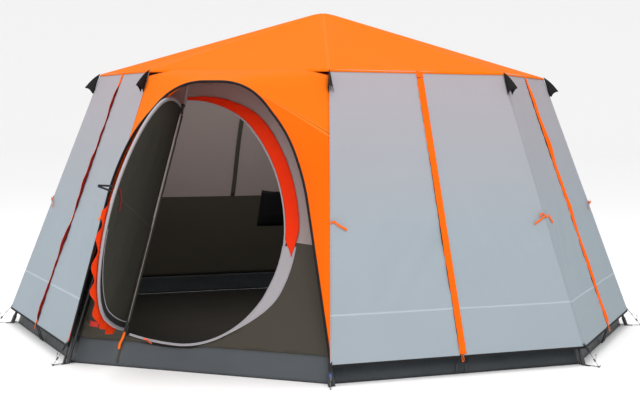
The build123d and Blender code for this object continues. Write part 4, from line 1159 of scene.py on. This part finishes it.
def build_door_tapes():
    """The doorway's edge tape, the grey cloth beside it and the fixed storm flap over its zip."""
    build_edge_band("door_edge_tape", WALL_FRAME, OPENING, 0.0, lambda y, x: 0.008, 0.0022, TAPE, ROOT,
                    lambda point: point.x > 0.012, replaces=("door_zip_tape",), inner=-0.006)

    def jamb_width(y, x):
        return 0.008 + 0.070 * smooth(y, 0.03, 0.36)

    def jamb_inner(y, x):
        return 0.007 - 0.016 * smooth(y, 0.14, 0.36)

    build_edge_band("door_jamb_cloth", WALL_FRAME, OPENING, 0.0, jamb_width, 0.0038, TAPE, ROOT,
                    lambda point: 0.03 < point.y < 0.62 and point.x > 0.40, inner=jamb_inner)

    def flap_width(y, x):
        return 0.010 + 0.052 * smooth(x, -0.05, 0.45) + 0.028 * smooth(y, 0.55, 0.72) * smooth(x, 0.30, 0.55)

    def flap_inner(y, x):
        return mix(0.060, 0.005, smooth(y, 0.54, 0.66)) - 0.010 * smooth(0.5 - x, 0.0, 0.3)

    build_edge_band("door_fixed_flap", WALL_FRAME, OPENING, 0.0, flap_width, 0.0085, FLAP, ROOT,
                    lambda point: point.y > 0.545 and point.x > 0.014, replaces=("door_fixed_storm_flap",),
                    inner=flap_inner, waves=0.0025)


def build_door_zip_pull():
    """Puller of the door's zip: a domed slider with a cord loop."""
    slider = []
    for half in (-1, 1):
        def at(column, row, half=half):
            x = 0.028 * column / 8 - 0.014
            y = 0.011 * row / 5 - 0.0055
            dome = 0.0016 * (1 - (row / 2.5 - 1) ** 2)
            place = Vector((ZIP_PULL_AT[0] + x, ZIP_PULL_AT[1] + y, 0.0045 + half * (0.0010 + dome)))
            return WALL_FRAME @ place, (x, y, 1.0)
        points, flats, faces = grid(8, 5, at)
        slider.append((points, flats, turned_over(faces, half < 0)))
    loop = [WALL_FRAME @ Vector(point) for point in ((0.160, -0.064, 0.007), (0.176, -0.070, 0.011),
                                                     (0.196, -0.082, 0.009), (0.176, -0.078, 0.008),
                                                     (0.160, -0.066, 0.007))]
    slider.append(tube(curve_route(loop, 5), 0.0016, 8))
    pull = add_sheet("door_zip_pull", joined(slider), ZIP_PULL, ROOT)
    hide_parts("door_zip_slider")


def build_patch():
    """A plain sewn patch beside the leaf's lower corner."""
    def patch_at(column, row):
        x = PATCH_AT[0] + PATCH_SIZE[0] * (column / 8 - 0.5)
        y = PATCH_AT[1] + PATCH_SIZE[1] * (row / 5 - 0.5)
        edge = min(column, 8 - column, row * 1.6, (5 - row) * 1.6) * 0.0035
        puff = 0.0032 + 0.0010 * min(1, edge / 0.004)
        return WALL_FRAME @ Vector((x, y, puff + 0.004)), (x, y, edge)

    patch = add_sheet("sewn_patch_plain", grid(8, 5, patch_at), RED_PATCH, ROOT, thick=0.0014)
    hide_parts("plain_patch")


def start_of(inner, point):
    """A band's inner line at a point, whether it is one distance or a rule."""
    return inner(point.y, point.x) if callable(inner) else inner


def build_edge_band(name, place, stations, lift_from, width, lift, material, body, keep, replaces=(),
                    inner=0.0, waves=0.0, wave_length=0.09, edge_waves=0.0, tail=0.0):
    """A band of cloth along a door's curved edge, between an inner and an outer line."""
    kept = [station for station in stations if keep(station[0])]
    columns, rows = len(kept) - 1, 8

    def at(column, row):
        point, out, along = kept[column]
        wide = width(point.y, point.x)
        if tail:
            from_end = min(column, columns - column) / columns
            wide = mix(start_of(inner, point), wide, smooth(from_end, 0.0, tail))
        start = start_of(inner, point)
        share = row / rows
        phase = along * 2 * math.pi / wave_length + 2.6 * noise.noise(Vector((along * 4, 2.0, 0)))
        wave = math.sin(phase)
        reach = mix(start, wide + edge_waves * (0.6 * wave + noise.noise(Vector((along * 9, 5.0, 0)))), share)
        flat = point + out * reach
        rise = lift + waves * share * wave + lift_from * share
        sewn = (wide - start) * min(share, 1 - share)
        return place @ Vector((flat.x, flat.y, rise)), (reach, along, sewn)

    band = add_sheet(name, grid(columns, rows, at), material, body, thick=CLOTH)
    if replaces:
        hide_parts(*replaces)
    return band


def hinge_tapes():
    """The sleeve round the door post with its piping, and the cloth hinge that joins the leaf to it."""
    def on_hinge(distance, x=0.0, z=0.0):
        return WALL_FRAME @ Vector((x, distance, z))

    band = (WALL_FRAME.inverted() @ on_front_wall(HINGE_FOOT_AT[0], BAND_HEIGHT)).y
    lengths = (("foot", -0.226, -0.062, INNER_DARK), ("low", 0.014, band, INNER_DARK),
               ("high", band, 1.330, INNER_LIGHT), ("head", 1.402, 1.552, INNER_LIGHT))
    for name, low, high, material in lengths:
        route = [on_hinge(mix(low, high, index / 40)) for index in range(41)]

        def sleeve_radius(share, low=low):
            return 0.0108 + 0.0006 * noise.noise(Vector((share * 40, low, 1)))

        sleeve = add_sheet(f"door_post_sleeve_{name}", tube(route, sleeve_radius, 16), material, ROOT)
    piping = []
    for x, z, low in ((0.006, 0.0112, 0.02), (-0.008, 0.0105, band), (-0.022, 0.0045, band)):
        route = [on_hinge(mix(low, 1.340, index / 40), x, z) for index in range(41)]
        piping.append(tube(route, 0.0021, 8))
    cords = add_sheet("door_post_piping", joined(piping), TAPE, ROOT)

    def at(column, row):
        along = mix(0.014, 1.326, row / 70)
        share = column / 8
        turned = door_frame(DOOR_OPEN_TURN * smooth(share, 0.0, 0.7))
        reach = mix(0.0118, STILE_OFFSET + 0.006, share)
        swell = 0.0012 * noise.noise(Vector((along * 14, share, 0)))
        sink = -0.0065 * math.sin(math.pi * min(1, share * 1.2))
        return turned @ Vector((reach, along, sink + swell)), (reach, along, 0.02)

    gusset = add_sheet("door_hinge_cloth", grid(8, 70, at), LEAF_DARK, None, thick=CLOTH)
    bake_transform(gusset)
    tail = [WALL_FRAME @ Vector(point) for point in ((0.006, -0.045, 0.016), (0.004, -0.085, 0.019),
                                                     (-0.006, -0.120, 0.016), (-0.004, -0.150, 0.015))]
    tail_tape = ribbon(curve_route(tail, 6), Vector((1, 0, 0)), 0.016, Vector((0, -1, 0)), crown=0.001)
    ribbon_piece = add_sheet("sill_ribbon", tail_tape, TIE_WEB, ROOT, thick=0.0012)


# ---- Door leaf -----------------------------------------------------------------------------------
def build_leaf():
    """The door leaf's dark cloth."""
    inner_edge = [(point - out * 0.006) for point, out, _ in LEAF_EDGE]
    left = STILE_OFFSET + 0.004
    loop = [(max(point.x, left), point.y) for point in inner_edge]
    count = 40
    top_y, low_y = loop[0][1], loop[-1][1]
    loop += [(left, mix(low_y, top_y, index / count)) for index in range(1, count)]
    vertices, faces = cut_sheet(loop, [], 0.028)
    points, flats = [], []
    for vertex in vertices:
        edge = min((vertex - point).length for point, _, _ in LEAF_EDGE[::3])
        fade = smooth(min(edge, vertex.x - left), 0.004, 0.16)
        ripple = 0.011 * wrinkle(vertex.x * 1.2, vertex.y * 0.8, 3.0) * fade
        lean = vertex.x * 0.9 + vertex.y * 0.35
        ripple += 0.004 * fade * noise.noise(Vector((lean * 8.0, vertex.y * 1.1, 11.0)))
        points.append(LEAF_FRAME @ Vector((vertex.x, vertex.y, ripple - 0.004 * fade)))
        flats.append((vertex.x, vertex.y, vertex.y - 0.60))
    cloth = add_piece("leaf_cloth", points, turned_over(faces), LEAF_DARK, LEAF, flats, thick=CLOTH)
    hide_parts("door_leaf_panel")


def build_leaf_edge():
    """Sleeve over the leaf's hoop, the tapes beside it, the sill band and the storm flap."""
    route = [LEAF_FRAME @ Vector((*(point - out * HOOP_INSET), 0)) for point, out, _ in LEAF_EDGE
             if point.x > STILE_OFFSET + 0.026]

    def sleeve_radius(share):
        return 0.0082 + 0.0006 * noise.noise(Vector((share * 70, 0, 0)))

    def beside_hoop(point):
        return point.x > STILE_OFFSET + 0.022

    def at_sill(point):
        return point.y < 0.40 and point.x > 0.05

    def under_flap(point):
        return point.y < 0.590 and point.x > STILE_OFFSET + 0.070

    def flap_width(y, x):
        return 0.030 + 0.010 * smooth(0.55 - y, 0, 0.4)

    def sill_line(start, drop):
        return lambda y, x: start - drop * smooth(0.34 - y, 0, 0.34)

    sleeve = add_sheet("leaf_hoop_sleeve", tube(route, sleeve_radius, 14), TAPE, LEAF)
    for suffix, lift in (("inside", -0.0064), ("outside", 0.0064)):
        build_edge_band(f"leaf_edge_tape_{suffix}", LEAF_FRAME, LEAF_EDGE, 0.0, lambda y, x: -0.012, lift,
                        TAPE, LEAF, beside_hoop, inner=-0.023)
    build_edge_band("leaf_inner_piping", LEAF_FRAME, LEAF_EDGE, 0.0, sill_line(-0.024, 0.030), -0.0100,
                    TAPE, LEAF, at_sill, inner=sill_line(-0.029, 0.031))
    build_edge_band("leaf_sill_band", LEAF_FRAME, LEAF_EDGE, 0.0, lambda y, x: -0.021, -0.0088,
                    BLACK_WEB, LEAF, at_sill, inner=sill_line(-0.025, 0.030))
    build_edge_band("leaf_storm_flap", LEAF_FRAME, LEAF_EDGE, 0.004, flap_width, 0.0120, LEAF_FLAP, LEAF,
                    under_flap, replaces=("door_leaf_storm_flap",), inner=-0.016, waves=0.010,
                    edge_waves=0.010, wave_length=0.15, tail=0.10)


def build_leaf_hinge_side():
    """Tape and piping beside the leaf's straight rod."""
    def tape_at(column, row):
        along = mix(0.012, 1.330, row / 60)
        x = mix(STILE_OFFSET - 0.004, STILE_OFFSET + 0.020, column / 6)
        return LEAF_FRAME @ Vector((x, along, -0.0068)), (x, along, 0.012 - abs(x - STILE_OFFSET - 0.008))

    stile_tape = add_sheet("leaf_hinge_tape", grid(6, 60, tape_at), LEAF_DARK, LEAF, thick=CLOTH)

    band = (WALL_FRAME.inverted() @ on_front_wall(HINGE_FOOT_AT[0], BAND_HEIGHT)).y
    piping = []
    for x, low in ((0.0235, 0.016), (0.034, band), (0.0445, band + 0.06)):
        route = [LEAF_FRAME @ Vector((x, mix(low, 1.328, index / 40), -0.0088)) for index in range(41)]
        piping.append(tube(route, 0.0022, 8))
    hinge_piping = add_sheet("leaf_hinge_piping", joined(piping), PIPING, LEAF)


def build_leaf_loop():
    """Black webbing loop at the leaf's free edge, and the red cord inside it."""
    sheets = []
    for start_y, end_y in ((0.636, 0.624), (0.606, 0.620)):
        keys = ((0.842, start_y, 0.014), (0.845, mix(start_y, end_y, 0.4), 0.050), (0.844, end_y, 0.100))
        route = curve_route([LEAF_FRAME @ Vector(key) for key in keys], 8)
        sheets.append(ribbon(route, (LEAF_FRAME.to_3x3() @ Vector((0.35, 1, 0))).normalized(), 0.011,
                             LEAF_FRAME.to_3x3() @ Vector((1, 0, 0)), crown=0.0006))
    strap = add_sheet("leaf_toggle_loop", joined(sheets), BLACK_WEB, LEAF, thick=0.0018)
    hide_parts("door_leaf_strap")
    keys = ((0.815, 0.640, -0.010), (0.780, 0.622, -0.014), (0.735, 0.585, -0.013), (0.715, 0.530, -0.012))
    points, flats, faces = tube(curve_route([LEAF_FRAME @ Vector(key) for key in keys], 6), 0.0032, 8)
    cord = add_piece("leaf_tie_cord", points, faces, CORD_RED, LEAF, flats)


build_roof()
for number, turn in PANELS.items():
    build_panel(number, turn)
build_porch()
build_hoods()
build_ties()
build_guys()
build_hem_hooks()
build_inner_walls()
build_pocket()
build_ceiling()
build_skirt()
build_floor()
build_front_wall()
build_door_tapes()
hinge_tapes()
build_door_zip_pull()
build_patch()
build_leaf()
build_leaf_edge()
build_leaf_hinge_side()
build_leaf_loop()

# ---- CAD parts that stay in view -----------------------------------------------------------------
for name, material in (
    ("roof_hub", BLACK_PLASTIC), ("hub_cap", BLACK_PLASTIC), ("roof_poles", POLE), ("pole_ferrules", PLATED),
    ("shoulder_elbows", BLACK_PLASTIC), ("leg_tubes_upper", LEG_PAINT), ("leg_tubes_lower", LEG_PAINT),
    ("leg_feet", BLACK_PLASTIC), ("porch_arch_pole", POLE), ("porch_arch_feet", BLACK_PLASTIC),
    ("door_post", LEG_PAINT), ("door_post_collars", BLACK_PLASTIC), ("door_hinge_fittings", BLACK_PLASTIC),
    ("door_leaf_stile", POLE), ("door_leaf_hoop", POLE), ("inner_hooks", BLACK_PLASTIC),
):
    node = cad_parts[name]
    node.data.materials.clear()
    node.data.materials.append(material)

# ---- Stage, light and camera ---------------------------------------------------------------------
scene = bpy.context.scene
BOWL_RADIUS, BOWL_CURVE, BOWL_TURNS, BOWL_STEPS = 40.0, 8.0, 64, 16


def build_backdrop():
    """A pale floor that curves up into a round wall, far enough out to be behind every view."""
    material, nodes, links, shader = node_material("stage_pale")
    paper = noise_node(nodes, links, 40.0, 3.0)
    pale = colour_mix(nodes, links, paper, (0.90, 0.90, 0.90), (0.93, 0.93, 0.93))
    links.new(pale, shader.inputs["Base Color"])
    shader.inputs["Roughness"].default_value = 0.9
    profile = [(0.001, 0.0)]
    for step in range(BOWL_STEPS + 1):
        angle = math.pi / 2 * step / BOWL_STEPS
        profile.append((BOWL_RADIUS + BOWL_CURVE * math.sin(angle), BOWL_CURVE * (1 - math.cos(angle))))

    def at(column, row):
        out, height = profile[row]
        angle = 2 * math.pi * column / BOWL_TURNS
        point = Vector((out * math.cos(angle), out * math.sin(angle), height - 0.0005))
        return point, (point.x, point.y, 1.0)

    points, _, faces = grid(BOWL_TURNS, len(profile) - 1, at, around=True)
    add_piece("studio_backdrop", points, faces, material, None)


def light_world():
    world = bpy.data.worlds.new("studio_world")
    scene.world = world
    world.use_nodes = True
    background = world.node_tree.nodes["Background"]
    background.inputs["Color"].default_value = (1.0, 1.0, 1.0, 1)
    background.inputs["Strength"].default_value = 1.0


def area_light(name, place, target, size, power, colour=(1, 1, 1)):
    light = bpy.data.lights.new(name, "AREA")
    light.shape = "RECTANGLE"
    light.size, light.size_y = size
    light.energy = power
    light.color = colour
    lamp = bpy.data.objects.new(name, light)
    scene.collection.objects.link(lamp)
    lamp.location = place
    lamp.rotation_euler = (Vector(target) - Vector(place)).to_track_quat("-Z", "Y").to_euler()
    return lamp


build_backdrop()
light_world()
area_light("key_light", (3.5, -9.0, 6.5), (0, 0, 1.0), (6.0, 4.0), 420)
area_light("fill_light", (-8.0, -6.0, 4.0), (0, 0, 1.0), (5.0, 4.0), 160)
area_light("top_light", (0.0, 0.5, 9.0), (0, 0, 1.5), (7.0, 7.0), 260)
lantern = area_light("inside_light", (0.1, -0.6, 1.62), (-0.3, 1.2, 0.7), (1.4, 0.6), 24, (1.0, 0.96, 0.92))
lantern.visible_camera = False

camera_data = bpy.data.cameras.new("photo_camera")
camera = bpy.data.objects.new("photo_camera", camera_data)
scene.collection.objects.link(camera)
scene.camera = camera
camera_data.sensor_width = 36.0
camera_data.lens = 76.46
camera_data.clip_end = 200.0
CAMERA_AT = Vector((3.454, -8.958, 1.506))
FORWARD = Vector((-0.3602, 0.9306, -0.0645)).normalized()
RIGHT = Vector((0.9324, 0.3614, 0.0075))
RIGHT = (RIGHT - FORWARD * RIGHT.dot(FORWARD)).normalized()
matrix = Matrix((RIGHT, RIGHT.cross(FORWARD), -FORWARD)).transposed().to_4x4()
matrix.translation = CAMERA_AT
camera.matrix_world = matrix

scene.view_settings.view_transform = "Standard"
scene.view_settings.look = "None"

bpy.context.view_layer.update()
